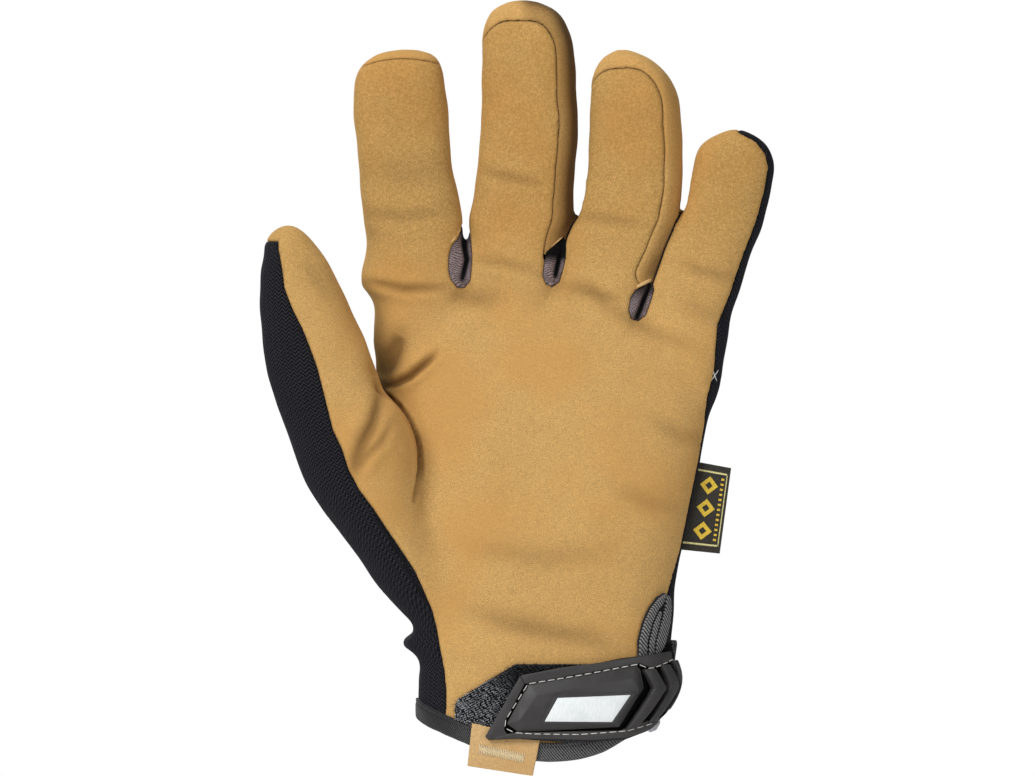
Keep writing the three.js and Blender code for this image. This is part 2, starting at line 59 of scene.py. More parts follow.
# Sizes, in millimetres
# Rows go from the wrist end to the tip: height, outline left and right, middle and half of the depth
PALM = [
    (-14, -41, 31, 1, 19), (2, -42, 34, 1, 20), (12, -42.2, 37, 1, 20.4), (22, -42, 38.8, 1, 20.5),
    (27.6, -42, 39.2, 0.7, 20.4), (29.8, -43.6, 39.4, 0.6, 20.4), (32.6, -47.4, 39.9, 0.5, 20.3),
    (35.2, -46, 40.2, 0.5, 20.2), (37.8, -42.6, 40.5, 0.5, 20.2), (44, -44.4, 40.9, 0.3, 20),
    (53.6, -46.8, 41.6, 0, 19.7), (66, -48.6, 44, -0.5, 19.3),
    (80, -50.4, 47, -0.8, 18.9), (96, -52.4, 50.1, -0.8, 18.2), (109, -54.2, 52.4, -0.5, 17),
    (120, -55.6, 54.9, -0.1, 15.6), (130, -56.8, 56.6, 0.3, 13.8), (137, -57, 57, 0.5, 12.6),
    (142, -56, 55, 0.6, 11), (145.6, -53.6, 52, 0.6, 9), (148, -49, 47, 0.6, 6.4), (149, -43, 41, 0.6, 3.4),
]
INDEX = [
    (118, -54, -27, 1, 11.5), (138, -56.5, -26.2, 0.8, 11.6), (144.5, -56.5, -25.8, 0.6, 11.6),
    (148, -59.9, -25.7, 0.5, 11.6), (151.5, -61.5, -25.8, 0.4, 11.6), (155, -60.7, -26.2, 0.2, 11.5),
    (159, -59.3, -26.8, 0, 11.4), (170, -59.8, -27.8, -0.5, 11.1), (180, -60.8, -29.3, -1.5, 10.8),
    (187, -61.2, -31, -2.3, 10.6), (194, -62, -31.8, -3.2, 10.4), (204, -63.1, -32.2, -4.7, 10.2),
    (213, -63, -33.3, -6.2, 9.6), (217, -62.3, -33.8, -6.8, 8.8), (220.5, -60.4, -34.7, -7.3, 7.4),
    (223.2, -57, -36.2, -7.6, 5.6), (225, -52.5, -39, -7.8, 3.6), (225.8, -47.5, -42.5, -7.9, 1.6),
]
MIDDLE = [
    (118, -26, 4, 2, 12), (140, -26.3, 4, 2, 12), (150, -26.4, 4.6, 1.9, 11.9),
    (160, -26.4, 5.6, 1.4, 11.6), (166, -26.1, 6.8, 0.8, 11.4), (171, -25.6, 8.2, 0.2, 11.3),
    (177, -24.4, 8.3, -0.6, 11.1), (187, -23.1, 8.8, -1.7, 10.9),
    (197, -22.1, 9.8, -2.9, 10.7), (210, -21.5, 9.4, -4.6, 10.5), (222, -21.5, 8.6, -6.2, 10.2),
    (229, -21.4, 7.8, -7.1, 9.6), (233, -20.8, 6.4, -7.7, 8.7), (236.5, -19.3, 4.6, -8.1, 7.4),
    (239.3, -17, 1.4, -8.5, 5.6), (240.9, -14, -2.5, -8.7, 3.4), (241.7, -11, -6.5, -8.8, 1.6),
]
RING = [
    (118, 3, 32, 1, 11.5), (140, 3, 33, 1, 11.5), (150, 3.4, 33.8, 0.6, 11.3), (158, 4.6, 37.2, 0, 11.1),
    (166, 6.4, 40.2, -0.9, 10.9), (172, 8.2, 42.3, -1.7, 10.8), (177, 10, 43.3, -2.4, 10.8),
    (183, 11.4, 43.7, -3.3, 10.6),
    (196, 13.2, 43.7, -5.3, 10.4), (205, 13.6, 43, -6.7, 10.1), (210, 13.8, 42.2, -7.5, 9.8),
    (214, 13.9, 40.9, -8, 9.2), (218, 14.7, 38.6, -8.5, 8.3), (221.2, 16.2, 35.2, -8.9, 7),
    (223.6, 18.4, 31.4, -9.2, 5.2), (225, 20.8, 28.2, -9.4, 3.2), (225.7, 22.4, 25.8, -9.4, 1.5),
]
PINKY = [
    (112, 30, 54, 0.6, 10.2), (122, 31, 56, 0.5, 10.7), (130, 32, 58.3, 0.3, 11),
    (138, 32.8, 59.3, 0.1, 10.9),
    (145, 32.6, 61.4, 0, 10.7), (151, 34, 63.5, -0.3, 10.5), (158, 36.6, 65.4, -0.8, 10.3),
    (166, 39.6, 68.7, -1.6, 10.1), (174, 43.2, 71, -2.5, 9.9), (182, 45.4, 72.8, -3.6, 9.6),
    (188, 47.1, 73.4, -4.4, 9.1), (192, 48.1, 72.5, -4.9, 8.4), (195.5, 50.3, 70.4, -5.3, 7.1),
    (198, 54, 67, -5.6, 5.2), (199.5, 57.4, 64, -5.8, 3), (200, 59.6, 61.8, -5.8, 1.4),
]
THUMB = [
    (22, -37, -24, 2.5, 10), (31, -39.4, -25, 1.5, 13), (37.5, -42.4, -26, 0.8, 14.8),
    (42, -46.4, -27, 0.1, 15.8),
    (50, -54, -29, -1.4, 17),
    (60, -60.9, -32.8, -3.8, 17.8), (70, -68.3, -37, -6.5, 18), (79.6, -75.3, -40.2, -9.3, 18),
    (89.4, -80.4, -41.2, -12, 17.5), (99, -83.7, -42.6, -14.6, 16.8), (106, -86.2, -45.6, -16.3, 16.2),
    (111, -88, -49.6, -17.4, 15.8), (115, -89.2, -53, -18.2, 15.4), (119.5, -90.6, -54.8, -19, 15),
    (128.4, -92.2, -58, -20.4, 14.3), (138, -93, -62.2, -21.7, 13.5), (148, -93.1, -66.8, -22.8, 12.6),
    (154.4, -92.8, -70, -23.4, 11.6), (158.6, -92, -72.6, -23.8, 10.6),
    (162.2, -91.6, -75.2, -24, 9), (165.2, -90.2, -77.8, -24.2, 7), (167.4, -88, -80.4, -24.3, 4.6),
    (168.6, -85.6, -82.6, -24.4, 2),
]
FINGER_SQUARENESS, THUMB_SQUARENESS = 2.9, 2.4
LIMBS = {
    "index": dict(rows=INDEX, squareness=FINGER_SQUARENESS, twist=0),
    "middle": dict(rows=MIDDLE, squareness=FINGER_SQUARENESS, twist=17),
    "ring": dict(rows=RING, squareness=FINGER_SQUARENESS, twist=16),
    "pinky": dict(rows=PINKY, squareness=FINGER_SQUARENESS, twist=0),
    "thumb": dict(rows=THUMB, squareness=THUMB_SQUARENESS, twist=0),
}
FINGERS = ("index", "middle", "ring", "pinky")
# The fingers that have a side wall of suede
WALLED_FINGERS = FINGERS[:3]
PALM_SQUARENESS = 2.5
# Where the palm starts to round off toward its top
PALM_SHOULDER = 137
RING_STEP = 1.6
RING_POINTS = 96

# Lines between neighbouring fingers: height, x
DIVIDERS = {
    "index_middle": [(140, -26.3), (176, -26.7), (240, -27.4)],
    "middle_ring": [(140, 2), (150, 3.2), (158, 4.2), (163.8, 5.4), (172, 8.2), (180, 10.2), (190, 11.2),
                    (240, 11.4)],
    "ring_pinky": [(130, 28), (140, 31), (149, 33.2), (152, 34.3), (164, 39), (176.3, 43.6), (184, 45),
                   (240, 45.4)],
}
NEIGHBOURS = {
    "index": (None, "index_middle"), "middle": ("index_middle", "middle_ring"),
    "ring": ("middle_ring", "ring_pinky"), "pinky": ("ring_pinky", None), "thumb": (None, None),
}
# Width of the gap on each line: height, width. The fingers touch where it is narrow
SLOTS = {
    "index_middle": [(140, 2.5), (171, 2.5), (176, 2), (240, 2)],
    "middle_ring": [(161, 2), (165, 0.2), (170, 0.2), (174, 2)],
    "ring_pinky": [(146, 2), (150, 0.2), (169, 0.2), (173, 2)],
}
# How far each line moves right for a millimetre of depth, counted from the front of the fingers
DIVIDER_SLANT = {"index_middle": 0, "middle_ring": 0.28, "ring_pinky": 0.28}
FINGER_FRONT = -9

# The cloth that joins two fingers below their gap: height, half width, middle and half of the depth
WEBS = {
    "index_middle": [(134, 2.6, 1.5, 8), (154, 2.6, 1.2, 7.2), (159, 2.5, 1.2, 6), (162, 2.2, 1.2, 3.6),
                     (163, 1.6, 1.2, 1.6)],
    "middle_ring": [(132, 2.6, 2, 8.6), (156, 2.5, 0.9, 7.6), (167, 2.3, -0.4, 6.8), (170.6, 2, -0.6, 4.4),
                    (172, 1.4, -0.6, 2)],
    "ring_pinky": [(128, 2.6, 1.4, 8.4), (150, 2.5, 0.2, 7.4), (166, 2.3, -1.4, 6.8), (171, 2, -1.8, 4.4),
                   (172.6, 1.4, -1.8, 2)],
}
WEB_SQUARENESS = 2.4
# Half the width of the strip of dark web cloth painted as shade where two fingers touch, and how far above
# the web it goes on
CONTACT_HALF, CONTACT_TOP = 0.19, 1.5

# The top of the palm drops toward the little finger: its slant, the x where that starts, the heights over
# which it sets in
KNUCKLE_SLANT, KNUCKLE_START, KNUCKLE_RISE = 0.22, 5, (100, 136)
# Grain of the mesh that makes palm, fingers and thumb one skin
VOXEL = 1.03

# Seams: how far the front panel comes round each finger, and the back from behind
FRONT_EDGE, BACK_EDGE = 2.4, 3.6
# On the sides that turn away the front comes further round: by how much, how far from the finger's middle,
# and the height over which that ends at the tip
FRONT_WRAP, WRAP_SIDE, WRAP_END = 5.2, (3, 10), 13
# Top seam of the index finger: height, arch and middle
INDEX_TIP_SEAM, INDEX_TIP_ARCH, INDEX_MIDDLE = 222.9, 0.013, -47
# Depth of the palm's side seams on the left and on the right, and how far from the middle they lie
PALM_SEAM_LEFT, PALM_SEAM_RIGHT, PALM_HALF_SPAN = 4, -3.5, 57
# The thumb's seam lies this far behind its middle, and above this height the suede wraps over the tip
THUMB_SEAM_BACK = 4
THUMB_WRAP = 163.5
# Where the thumb's cloth starts, how far right of the thumb it may reach, how softly it meets the palm's
THUMB_FOOT, THUMB_REACH, THUMB_JOIN = 22, 2, 0.12
# Heights where the fingers that have a side wall begin to narrow to their tips
TIP_START = {"index": 213, "middle": 222, "ring": 208}
# Heights between which the front seam leaves the palm and takes to the front of each finger
BLEND = {"index": (139, 158), "middle": (149.5, 158.5), "ring": (139, 154)}
BLEND_LOW = 139
# The black edge on the thumb side: height, x
THUMB_EDGE = [
    (-30, -33), (18, -33.2), (24.4, -33.8), (31, -35.1), (37.4, -36.1), (44, -37.7), (50.4, -40.3),
    (57, -43.2), (63.4, -47.5), (70, -52), (76.4, -56.2), (83, -61.1), (89.4, -64.4), (96, -66.6),
    (102.4, -69.6), (109, -71.2), (122, -74.4), (128.4, -76.7), (135, -79.3), (141.4, -82.6),
    (148, -85.2), (154.4, -86), (161, -87.2), (170, -87.5),
]
# The black edge on the little finger's side: height, x
OUTER_EDGE = [
    (30, 36.6), (48.8, 38.8), (53.6, 40.2), (63.4, 43), (92.6, 49), (103.7, 50.9), (113, 51.9),
    (121.4, 54.2), (131, 54.7), (136.5, 55.2), (146.3, 59.2), (156, 62.4), (170.6, 67.9),
    (180.4, 70.5), (187.7, 71.7), (192, 70.6), (196, 67.6), (199, 62),
]
# Leaf gussets, as x and height: their outline, the fold down their middle, which gets painted shade, and
# where the painted shade on their top starts and is deepest, and how dark it is
LEAVES = [
    dict(outline=[(-27.9, 168.8), (-28.2, 166.4), (-29.2, 164.2), (-31, 162.3), (-32, 158.9),
                  (-32.1, 154.1), (-31.2, 150.9), (-29.2, 148.5), (-27, 148.5), (-25.2, 150.6),
                  (-24.8, 154.1), (-24.7, 159.6), (-25.3, 164), (-25.8, 168.8)],
         fold=[(-27.6, 168), (-27.3, 164), (-26.3, 157.6), (-27.8, 151.5)], top_shade=(158, 169, 0.5)),
    dict(outline=[(5.3, 164.8), (-0.4, 160), (-1, 156.8), (-1.6, 152.5), (-0.5, 149.8), (1.5, 148.7),
                  (3.8, 150.4), (5, 154.4), (5.8, 158), (5.8, 161.4)],
         fold=[(5, 163.5), (3.6, 158), (2.4, 152.4)], top_shade=(155.4, 159.4, 1)),
    dict(outline=[(33.9, 150.4), (28.7, 147.9), (26.9, 145.4), (26.2, 141.1), (27.1, 138.5), (29.3, 137.7),
                  (31.9, 139.6), (33.5, 144.4), (34.3, 147.8)],
         fold=[(33, 149.2), (30.8, 144), (28.9, 139)], top_shade=(143.5, 148.5, 0.7)),
]
# How far back the leaves reach between the fingers
LEAF_BACK = 5
# Rolled edge of suede above each leaf: radius and its line
LEAF_EDGES = [
    (0.45, [(-28.6, 167.6), (-31.4, 163.2)]),
    (0.3, [(4.7, 165), (-0.9, 160.5)]),
    (0.6, [(33.4, 151.2), (28.8, 148.8)]),
]
# Edges turned under at the seams: width, depth and how much painted shade they get
ROLL_WIDTH, ROLL_DEPTH, SEAM_SHADE = 1.0, 0.42, 0.22
CLOTH = 1.25
SEAM_GAP = 0.03
# A cut keeps this far from the points of the skin, so that it leaves no slivers
CUT_CLEAR = 0.06
# Value of a panel's field where the panel can't be
OUTSIDE = -9.0

# The hem: height at the sides, dip in front and behind, and half of the wrist's depth
HEM_SIDE, HEM_FRONT_DIP, HEM_BACK_DIP, HEM_DEPTH = 11.2, 18.7, 7.4, 20.5
# How much the hem rises at each x
HEM_LIFT = [
    (-46, -2.6), (-42, -2.3), (-38.5, -0.6), (-35.5, 0.8), (-31, 1.8), (-27, 2.1), (-20, 1.5), (-10, 0.2),
    (0, -0.7), (10, -1), (18, -0.9), (24, -0.1), (30, 0), (46, 0),
]
BINDING_HEIGHT = 6.5
# How far the panels go down into the binding, and how far above its edge their own edges begin to turn under
HEM_TUCK, HEM_ROLL_START = 0.35, (0.3, 3)
# Section of the binding: out from the cloth, up from the hem
HEM_PROFILE = [
    (-2.3, 0.6), (-2.0, 0.0), (-1.0, -0.3), (0.0, -0.3), (0.65, 0.05), (0.85, 0.7), (0.9, 2.4), (0.9, 4.3),
    (0.8, 4.9), (0.55, 5.15), (0.8, 5.45), (0.85, 6.0), (0.6, 6.45), (0.1, 6.5), (-1.5, 6.5), (-2.2, 6.2),
]
# Points round the binding, and the row of its section whose length counts for the weave
HEM_POINTS, HEM_RUN_ROW = 260, 6

# Folds and creases of the worn glove
# Each row: depth, width, height of the soft bulge beside it, and the line it follows as x and height
FOLDS = [
    (0.50, 2.0, 0.30, [(-61, 172.4), (-46, 171.2), (-33, 172.6)]),
    (0.95, 1.3, 0.55, [(-58, 150.2), (-46.5, 147.9), (-32, 148.4)]),
    (0.30, 2.4, 0.15, [(-62, 167.5), (-54, 165.4)]),
    (0.35, 4.5, 0.10, [(-61, 187), (-45, 185), (-32, 187)]),
    (0.65, 1.6, 0.40, [(-22, 186.6), (-14.3, 184.3), (-1.3, 182)]),
    (0.55, 1.5, 0.45, [(-24.4, 157.6), (-14.3, 156.3), (-1.3, 152.6)]),
    (0.55, 1.8, 0.35, [(8.5, 172), (18.2, 170.6), (31, 168.6)]),
    (0.60, 1.7, 0.45, [(5.2, 149.4), (11.7, 147.9), (18.2, 145.3), (26, 144.2)]),
    (0.55, 1.9, 0.35, [(42, 156.4), (56, 152.2), (63, 151.4)]),
    (0.40, 3.0, 0.25, [(43, 143), (54, 139.4), (60, 139)]),
    (2.80, 3.2, 0.60, [(-54.6, 119), (-51.4, 126), (-47.4, 133)]),
    (2.20, 1.1, 0.90, [(-54.6, 116.6), (-49.6, 117.4), (-45, 119.6), (-41.2, 122.8), (-36.4, 127)]),
    (3.00, 0.62, 0.50, [(-54.6, 115.6), (-51.4, 113.2), (-48.2, 110.3), (-44.8, 105.6), (-42.4, 100.2),
                        (-41.4, 95), (-41.2, 90), (-41.9, 84.8), (-43.2, 79.6)]),
    (1.50, 2.0, 0.60, [(-54.1, 116), (-54.6, 110), (-56.2, 104.6), (-59, 99.4), (-61.6, 93.6),
                       (-62.8, 87)]),
    (0.80, 1.3, 0.35, [(-50.4, 105), (-53.6, 98.5), (-58.7, 93.4), (-61.3, 89.6)]),
    (0.80, 3.2, 0.20, [(-32, 146.4), (-24, 145.4), (-15, 145.2)]),
    (0.55, 2.3, 0.30, [(3.6, 148.9), (14.3, 147.2), (19.2, 142.4), (26, 138.5), (40, 131.5), (51, 128)]),
    (0.90, 3.2, 0.45, [(-24, 43), (-10.7, 39.2), (3.9, 36.2), (14, 34.8), (22, 31.6)]),
    (0.45, 4.0, 0.20, [(-26, 64), (0, 60.5), (22, 63)]),
    (0.40, 2.6, 0.20, [(-80, 158), (-73, 149), (-70, 143)]),
    (0.50, 2.6, 0.25, [(34, 106), (44, 100), (52, 99)]),
    (0.45, 3.0, 0.20, [(22, 84), (34, 78), (44, 77)]),
]
BACK_FOLDS = [
    (0.50, 3.0, 0.30, [(-58, 184), (-34, 184)]),
    (0.50, 3.0, 0.30, [(-22, 190), (4, 189)]),
    (0.50, 3.0, 0.30, [(10, 178), (36, 175)]),
    (0.45, 2.8, 0.30, [(36, 162), (62, 158)]),
    (0.60, 4.0, 0.30, [(-50, 146), (-10, 150), (24, 145), (52, 134)]),
    (0.70, 4.0, 0.35, [(-36, 44), (-4, 41), (30, 44)]),
    (0.60, 3.6, 0.30, [(-78, 118), (-60, 112), (-50, 108)]),
]
# Broad hollows of the palm: x, height, half width, half height, depth
HOLLOWS = [(-4, 92, 24, 24, 2.6), (2, 41, 26, 8, 1.2), (-20, 118, 18, 12, 1.0)]
# Part of each fold's line that it uses, and where the bulge beside it is and how wide, in widths of the fold
FOLD_ENDS, RIDGE_PLACE, RIDGE_WIDTH = (0.02, 0.98), 2.3, 1.3
# Folds steeper than this get a finer mesh as far as this from their line
SHARP_FOLD, REFINED_REACH = 0.7, 3.2
# The lines between the fingers get a finer mesh, as far as this to each side, once for each number
LINE_REACHES = (5, 1.3)
# How far above the webs and behind the leaves that finer mesh goes
LINE_ABOVE, LINE_BEHIND = 3, 1
# The fold down each leaf: depth, width and the bulge beside it
LEAF_CREASE = (0.9, 0.8, 0.3)
# How dark the painted shade in the fold down each leaf is, and half its width
LEAF_FOLD_SHADE, LEAF_FOLD_HALF = 1, 0.95
# Rounds of smoothing
SMOOTH_EVERYWHERE, SMOOTH_WEBS, SMOOTH_ROOT = 7, 26, 110
# Depth of the long waves, and how dark the painted shade of a full crease is
UNEVENNESS, CREASE_SHADE = 0.28, 0.55
# How much painted shade the right side of each wall gets at the front seam and round the side, and the
# heights where that fades
WALL_PAINTED_SHADE = {"index": (0.05, 0.25, 200, 230), "middle": (0.36, 1, 260, 300), "ring": (0, 0.95, 157, 176)}
# The painted shade grows with distance from the seam, from left to right of the finger's middle, and ends
# behind
SHADE_FROM_SEAM, SHADE_ACROSS, SHADE_BEHIND = (0.5, 6.5), (-3, 3), (2, 8)
# Long waves of unevenness: how fast each runs with x, depth and height, and where it starts
RIPPLES = [
    (0.21, 0.05, 0.13, 0.4), (-0.11, 0.17, 0.19, 1.7), (0.07, -0.12, -0.31, 2.9),
    (0.33, 0.21, -0.09, 4.1), (-0.27, 0.1, 0.41, 5.3), (0.15, -0.3, 0.52, 0.9),
]
# Softened webs: heights where that sets in and ends, left limit, and how strong it is all over and, more,
# behind the front
WEB_RISE, WEB_FALL, WEB_LEFT = (116, 128), (160, 172), -62
WEB_SOFT, WEB_SOFT_BEHIND, WEB_FRONT = 0.35, 0.75, -8
# Softened spot beside the thumb: strength, then x, height, half width and half height
THUMB_WEB_SOFT, THUMB_WEB = 0.3, (-52, 104, 13, 20)
# Softened root of the thumb: x, half width, heights where it sets in and ends
ROOT_X, ROOT_HALF, ROOT_RISE, ROOT_FALL = -33, 11, (22, 40), (70, 92)
# How squarely cloth faces front or back before folds show on it
FACING = (0.02, 0.4)
# Depth of fold that gets the painted shade of a full crease, and the most painted shade that one fold can add
CREASE_DEPTH, CREASE_MOST = 1.2, 1.7
# Heights over which the folds grow to full depth above the cuff, and their share at the cuff
CUFF_CALM, CUFF_FOLDS = (26, 40), 0.25
# Heights where the little finger's side takes over from the palm's, and where each finger has its own weave
PINKY_ROOT, OWN_WEAVE = (112, 126), 162

# The pieces on the wrist, as outlines of x and height seen from the front
PATCH_OUTLINE = [
    (-31.2, 13.4), (-29.9, 15.3), (-10.8, 26.6), (13.3, 26.6), (20, 22), (20, 8), (13.6, 2.4), (12, 0.9),
    (8.4, 1), (6, 5), (-20, 5.2), (-31.2, 8.6),
]
PATCH_LOW, PATCH_HIGH, PATCH_SLICE = 0.25, 1.4, 2.2
HAIRS, HAIR_RADIUS = 5200, 0.07
STRAP_OUTLINE = [
    (-20.6, 3.2), (-9.4, 22.2), (-8.6, 23.2), (-7.4, 23.8), (3.6, 25.5), (16.8, 27.1), (23.4, 28.4),
    (29.6, 29.2), (31.7, 28.6), (37.4, 30), (40, 33.4), (41.4, 32.4), (42.3, 29.6), (42.4, 13.2),
    (38.4, 9.1), (33.9, 5.6), (25.6, 2.9), (14.6, 1.9), (-8.3, 2.5), (-19.6, 2.1),
]
STRAP_LOW, STRAP_FLOOR, STRAP_FLANGE = 2.1, 2.7, 4.2
BACKING_OUTLINE = [
    (-9, 6), (-9, 2.3), (2, 1.5), (14.6, 1.2), (25.8, 2.1), (31.4, 4), (34.6, 5.2), (37.8, 7.6), (36, 10),
    (20, 8),
]
BACKING_LOW, BACKING_HIGH = 1.45, 2.2
CORNER_OUTLINE = [(33.6, 5.4), (35.4, 4.3), (37.4, 4.9), (38.7, 7), (38.8, 9.4), (35, 9.8)]
CORNER_SLICE = 1.0
# Raised field round the plate: foot and shoulder of its bevel
FIELD_FOOT = [(-6.4, 20.1), (28.6, 26.3), (30, 24.4), (30.9, 18.8), (23, 6.3), (-9.8, 4.8), (-13.4, 7.4)]
FIELD_TOP = [(-3.6, 16.6), (26.8, 21.8), (28, 20.6), (29, 18.4), (21.9, 8.3), (-8, 7.1), (-9.4, 8.2)]
FIELD_HIGH = 5.3
PLATE_OUTLINE = [(3, 15.8), (26.2, 16.7), (20.3, 7.9), (-1.2, 8.1)]
PLATE_RIM = [(2.1, 16.6), (27.8, 17.5), (20.8, 7.2), (-2.7, 7.4)]
PLATE_LOW, PLATE_HIGH = 5.1, 5.65
# Ribs to the right of the field, one row each: foot, elbow and head of the left edge, then their width
RIBS = [
    ((25, 5.4), (34, 18.7), (30.6, 24.9), 3.9),
    ((32.2, 7.6), (39.2, 19.2), (36.2, 26.2), 2.7),
    ((37.4, 11), (42.4, 20.2), (39.8, 27.6), 1.6),
]
RIB_HIGH = 5.1
TOP_FLANGE = [(-9, 23), (3.6, 25.5), (16.8, 27.1), (29.6, 29.2), (40, 30.6), (40.4, 27.4), (33.4, 25.3),
              (29.6, 26.8), (-5.4, 20.6), (-7.6, 20.2)]
LEFT_FLANGE = [(-20.4, 3.2), (-9, 23), (-7.6, 20.2), (-13.8, 8.4), (-14.2, 5.4), (-12.8, 3.6), (-19.6, 2.2)]
LOW_FLANGE = [(-19.6, 2.2), (-12.8, 4.2), (-9.6, 4.6), (23.4, 5.2), (32, 8.2), (36.8, 9.4), (33.9, 5.7),
              (25.6, 3), (14.6, 2), (-8.3, 2.6)]
STITCH_TOP = [(-6.5, 20.3), (10, 23), (29.1, 26.6), (33, 24.9), (40.6, 28.2)]
STITCH_LEFT = [(-6.5, 20.3), (-14, 8.2), (-13.9, 6), (-10.9, 4.5)]
STITCH_LOW = [(-10.9, 4.5), (-5.2, 4.1), (10.2, 3.9), (25.6, 5), (33.9, 7.4)]
# The band: its edges, where it starts and where it ends behind the wrist, and the height that counts for it
BAND_TOP, BAND_BOTTOM, BAND_START, BAND_BEHIND, BAND_MIDDLE = 34, 12.4, 35, 14, 24
BAND_LOW, BAND_HIGH = 0.35, 2.1

TAB_OUTLINE = [(-25.1, 7.6), (-26.7, -6.4), (-4.9, -9.6), (-2.6, 2.4)]
TAB_LOW, TAB_HIGH = 1.15, 2.15
# Bar tack across the tab: its ends, its slant and height, and the number of its zigzags
BAR_START, BAR_END, BAR_DOWN, BAR_TALL, BAR_COUNT = (-22.4, 0.9), (-7.6, -2.1), (-0.12, -1.0), 3.4, 26
SLIT_OUTLINE = [
    (30.3, 28.2), (30.2, 34), (31.8, 40.2), (34, 44.6), (37, 48.2), (39.6, 49.6), (41.4, 48.6), (42, 45),
    (41.6, 40), (40, 34), (38.6, 29.6),
]
WEBBING_LOW, WEBBING_CORE, WEBBING_HIGH = 0.3, 1.3, 2.4
# Ribs of the webbing, each as its left and its right edge
WEBBING_RIBS = [
    ([(30.5, 28.6), (30.6, 34), (32.2, 40), (34.3, 44.3), (37.2, 47.8), (39.5, 49.2)],
     [(33, 28.6), (33.2, 34), (34.8, 40), (37, 44.3), (38.6, 46)]),
    ([(36, 28.8), (36.3, 34), (38, 40), (39.4, 44.5), (39.6, 46)],
     [(38.4, 29.6), (39.7, 34), (41.2, 40), (41.6, 45), (41.1, 48.2), (39.5, 49.2)]),
    ([(33.7, 28.8), (33.9, 34), (35.4, 40), (37.4, 43.8)],
     [(35.5, 28.8), (35.8, 34), (37.4, 40), (38.2, 43.4)]),
]
LABEL_OUTLINE = [(47.6, 92.2), (59.5, 90), (55.8, 62.2), (43, 63.5)]
LABEL_MIDDLE, LABEL_THICKNESS = -3, 0.7
# On the label, in shares of its width and height: border bars, diamonds and ticks
LABEL_BARS = [(0.02, 0.075, 0.93, 0.095), (0.02, 0.905, 0.93, 0.925), (0.91, 0.075, 0.935, 0.925)]
DIAMOND_MIDDLE, DIAMOND_OUTER, DIAMOND_INNER = 0.48, (0.24, 0.105), (0.1, 0.045)
TICKS, TICK_REACH, TICK_HALF = 13, (0.78, 0.86), 0.012
# Crossed stitches on the black side
TACK_PLACE, TACK_REACH, TACK_LEAN, TACK_RADIUS = (55.9, -8.6, 119.4), 1.9, 0.7, 0.2
# A stitch from end to end: share of its length, girth and lift
STITCH_FORM = [(0.0, 0.25, -0.6), (0.12, 0.85, 0.2), (0.5, 1.0, 1.0), (0.88, 0.85, 0.2), (1.0, 0.25, -0.6)]
# Rays that look for the skin start this far in front
RAY_START = -60
# Round the wrist: x beyond which flat pieces are measured along the curve, the height that counts for it,
# and the angles and heights of its table
FLAT_REACH, BEND_HEIGHT = 33, 4
WRIST_STEP = 2.0
WRIST_ANGLES = np.radians(np.linspace(-178, 130, 617))
WRIST_LEVELS = np.arange(-14.0, 48.0, WRIST_STEP)
# Flat pieces are cut across this often, so that they can bend
SLICE, FINE_SLICE = 2.0, 1.5
# Edges sharper than this, in degrees, stay crisp
CRISP, CRISP_RUBBER = 32, 28

# Stage, in metres and watts
CAMERA_PLACE = (-0.0099, -5.0, 0.116)
CAMERA_LENS = 535.1
LAMPS = [
    ("key", (-1.15, -1.5, 1.35), 0.9, 38),
    ("fill", (1.3, -1.9, 0.2), 1.0, 11),
    ("top", (-0.4, 0.3, 1.9), 1.2, 12),
    ("behind", (-0.3, 1.8, 0.7), 1.4, 20),
]
LAMP_AIM = (0, 0, 0.12)
AMBIENT = 0.22
FLOOR_HEIGHT, FLOOR_SIZE = -0.32, 2.4


# Numbers on arrays
def power(value, exponent):
    return np.sign(value) * np.abs(value) ** exponent


def smoothstep(value, low, high):
    t = np.clip((value - low) / (high - low), 0, 1)
    return t * t * (3 - 2 * t)


def columns_at(rows, heights):
    """Left, right, middle and half depth on a smooth curve through the rows."""
    table = np.array(rows, float)
    z = table[:, 0]
    heights = np.clip(heights, z[0], z[-1])
    slopes = np.gradient(table[:, 1:], z, axis=0)
    low = np.clip(np.searchsorted(z, heights) - 1, 0, len(z) - 2)
    span = (z[low + 1] - z[low])[:, None]
    t = ((heights - z[low]) / span[:, 0])[:, None]
    a, b = table[low, 1:], table[low + 1, 1:]
    da, db = slopes[low] * span, slopes[low + 1] * span
    return ((2 * t**3 - 3 * t**2 + 1) * a + (t**3 - 2 * t**2 + t) * da
            + (3 * t**2 - 2 * t**3) * b + (t**3 - t**2) * db)


def read_off(rows, places):
    """The rows' second number at places given by their first."""
    first, second = np.array(rows, float).T
    return np.interp(places, first, second)


def hem_height(x, y):
    dip = np.where(y < 0, HEM_FRONT_DIP, HEM_BACK_DIP)
    return HEM_SIDE - dip * (y / HEM_DEPTH) ** 2 + read_off(HEM_LIFT, x)


def divider_x(name, y, z):
    return read_off(DIVIDERS[name], z) + DIVIDER_SLANT[name] * np.maximum(0, y - FINGER_FRONT)


def half_slot(name, z):
    return read_off(SLOTS[name], z) / 2


def along_line(x, z, line):
    """Distance to a line, and the share of its length at the nearest point."""
    points = np.array(line, float)
    lengths = np.hypot(*np.diff(points, axis=0).T)
    total, before = lengths.sum(), 0.0
    best, share = np.full(len(x), 1e9), np.zeros(len(x))
    for a, b, length in zip(points, points[1:], lengths):
        t = ((x - a[0]) * (b[0] - a[0]) + (z - a[1]) * (b[1] - a[1])) / length**2
        t = np.clip(t, 0, 1)
        distance = np.hypot(x - a[0] - t * (b[0] - a[0]), z - a[1] - t * (b[1] - a[1]))
        nearer = distance < best
        best = np.where(nearer, distance, best)
        share = np.where(nearer, (before + t * length) / total, share)
        before += length
    return best, share


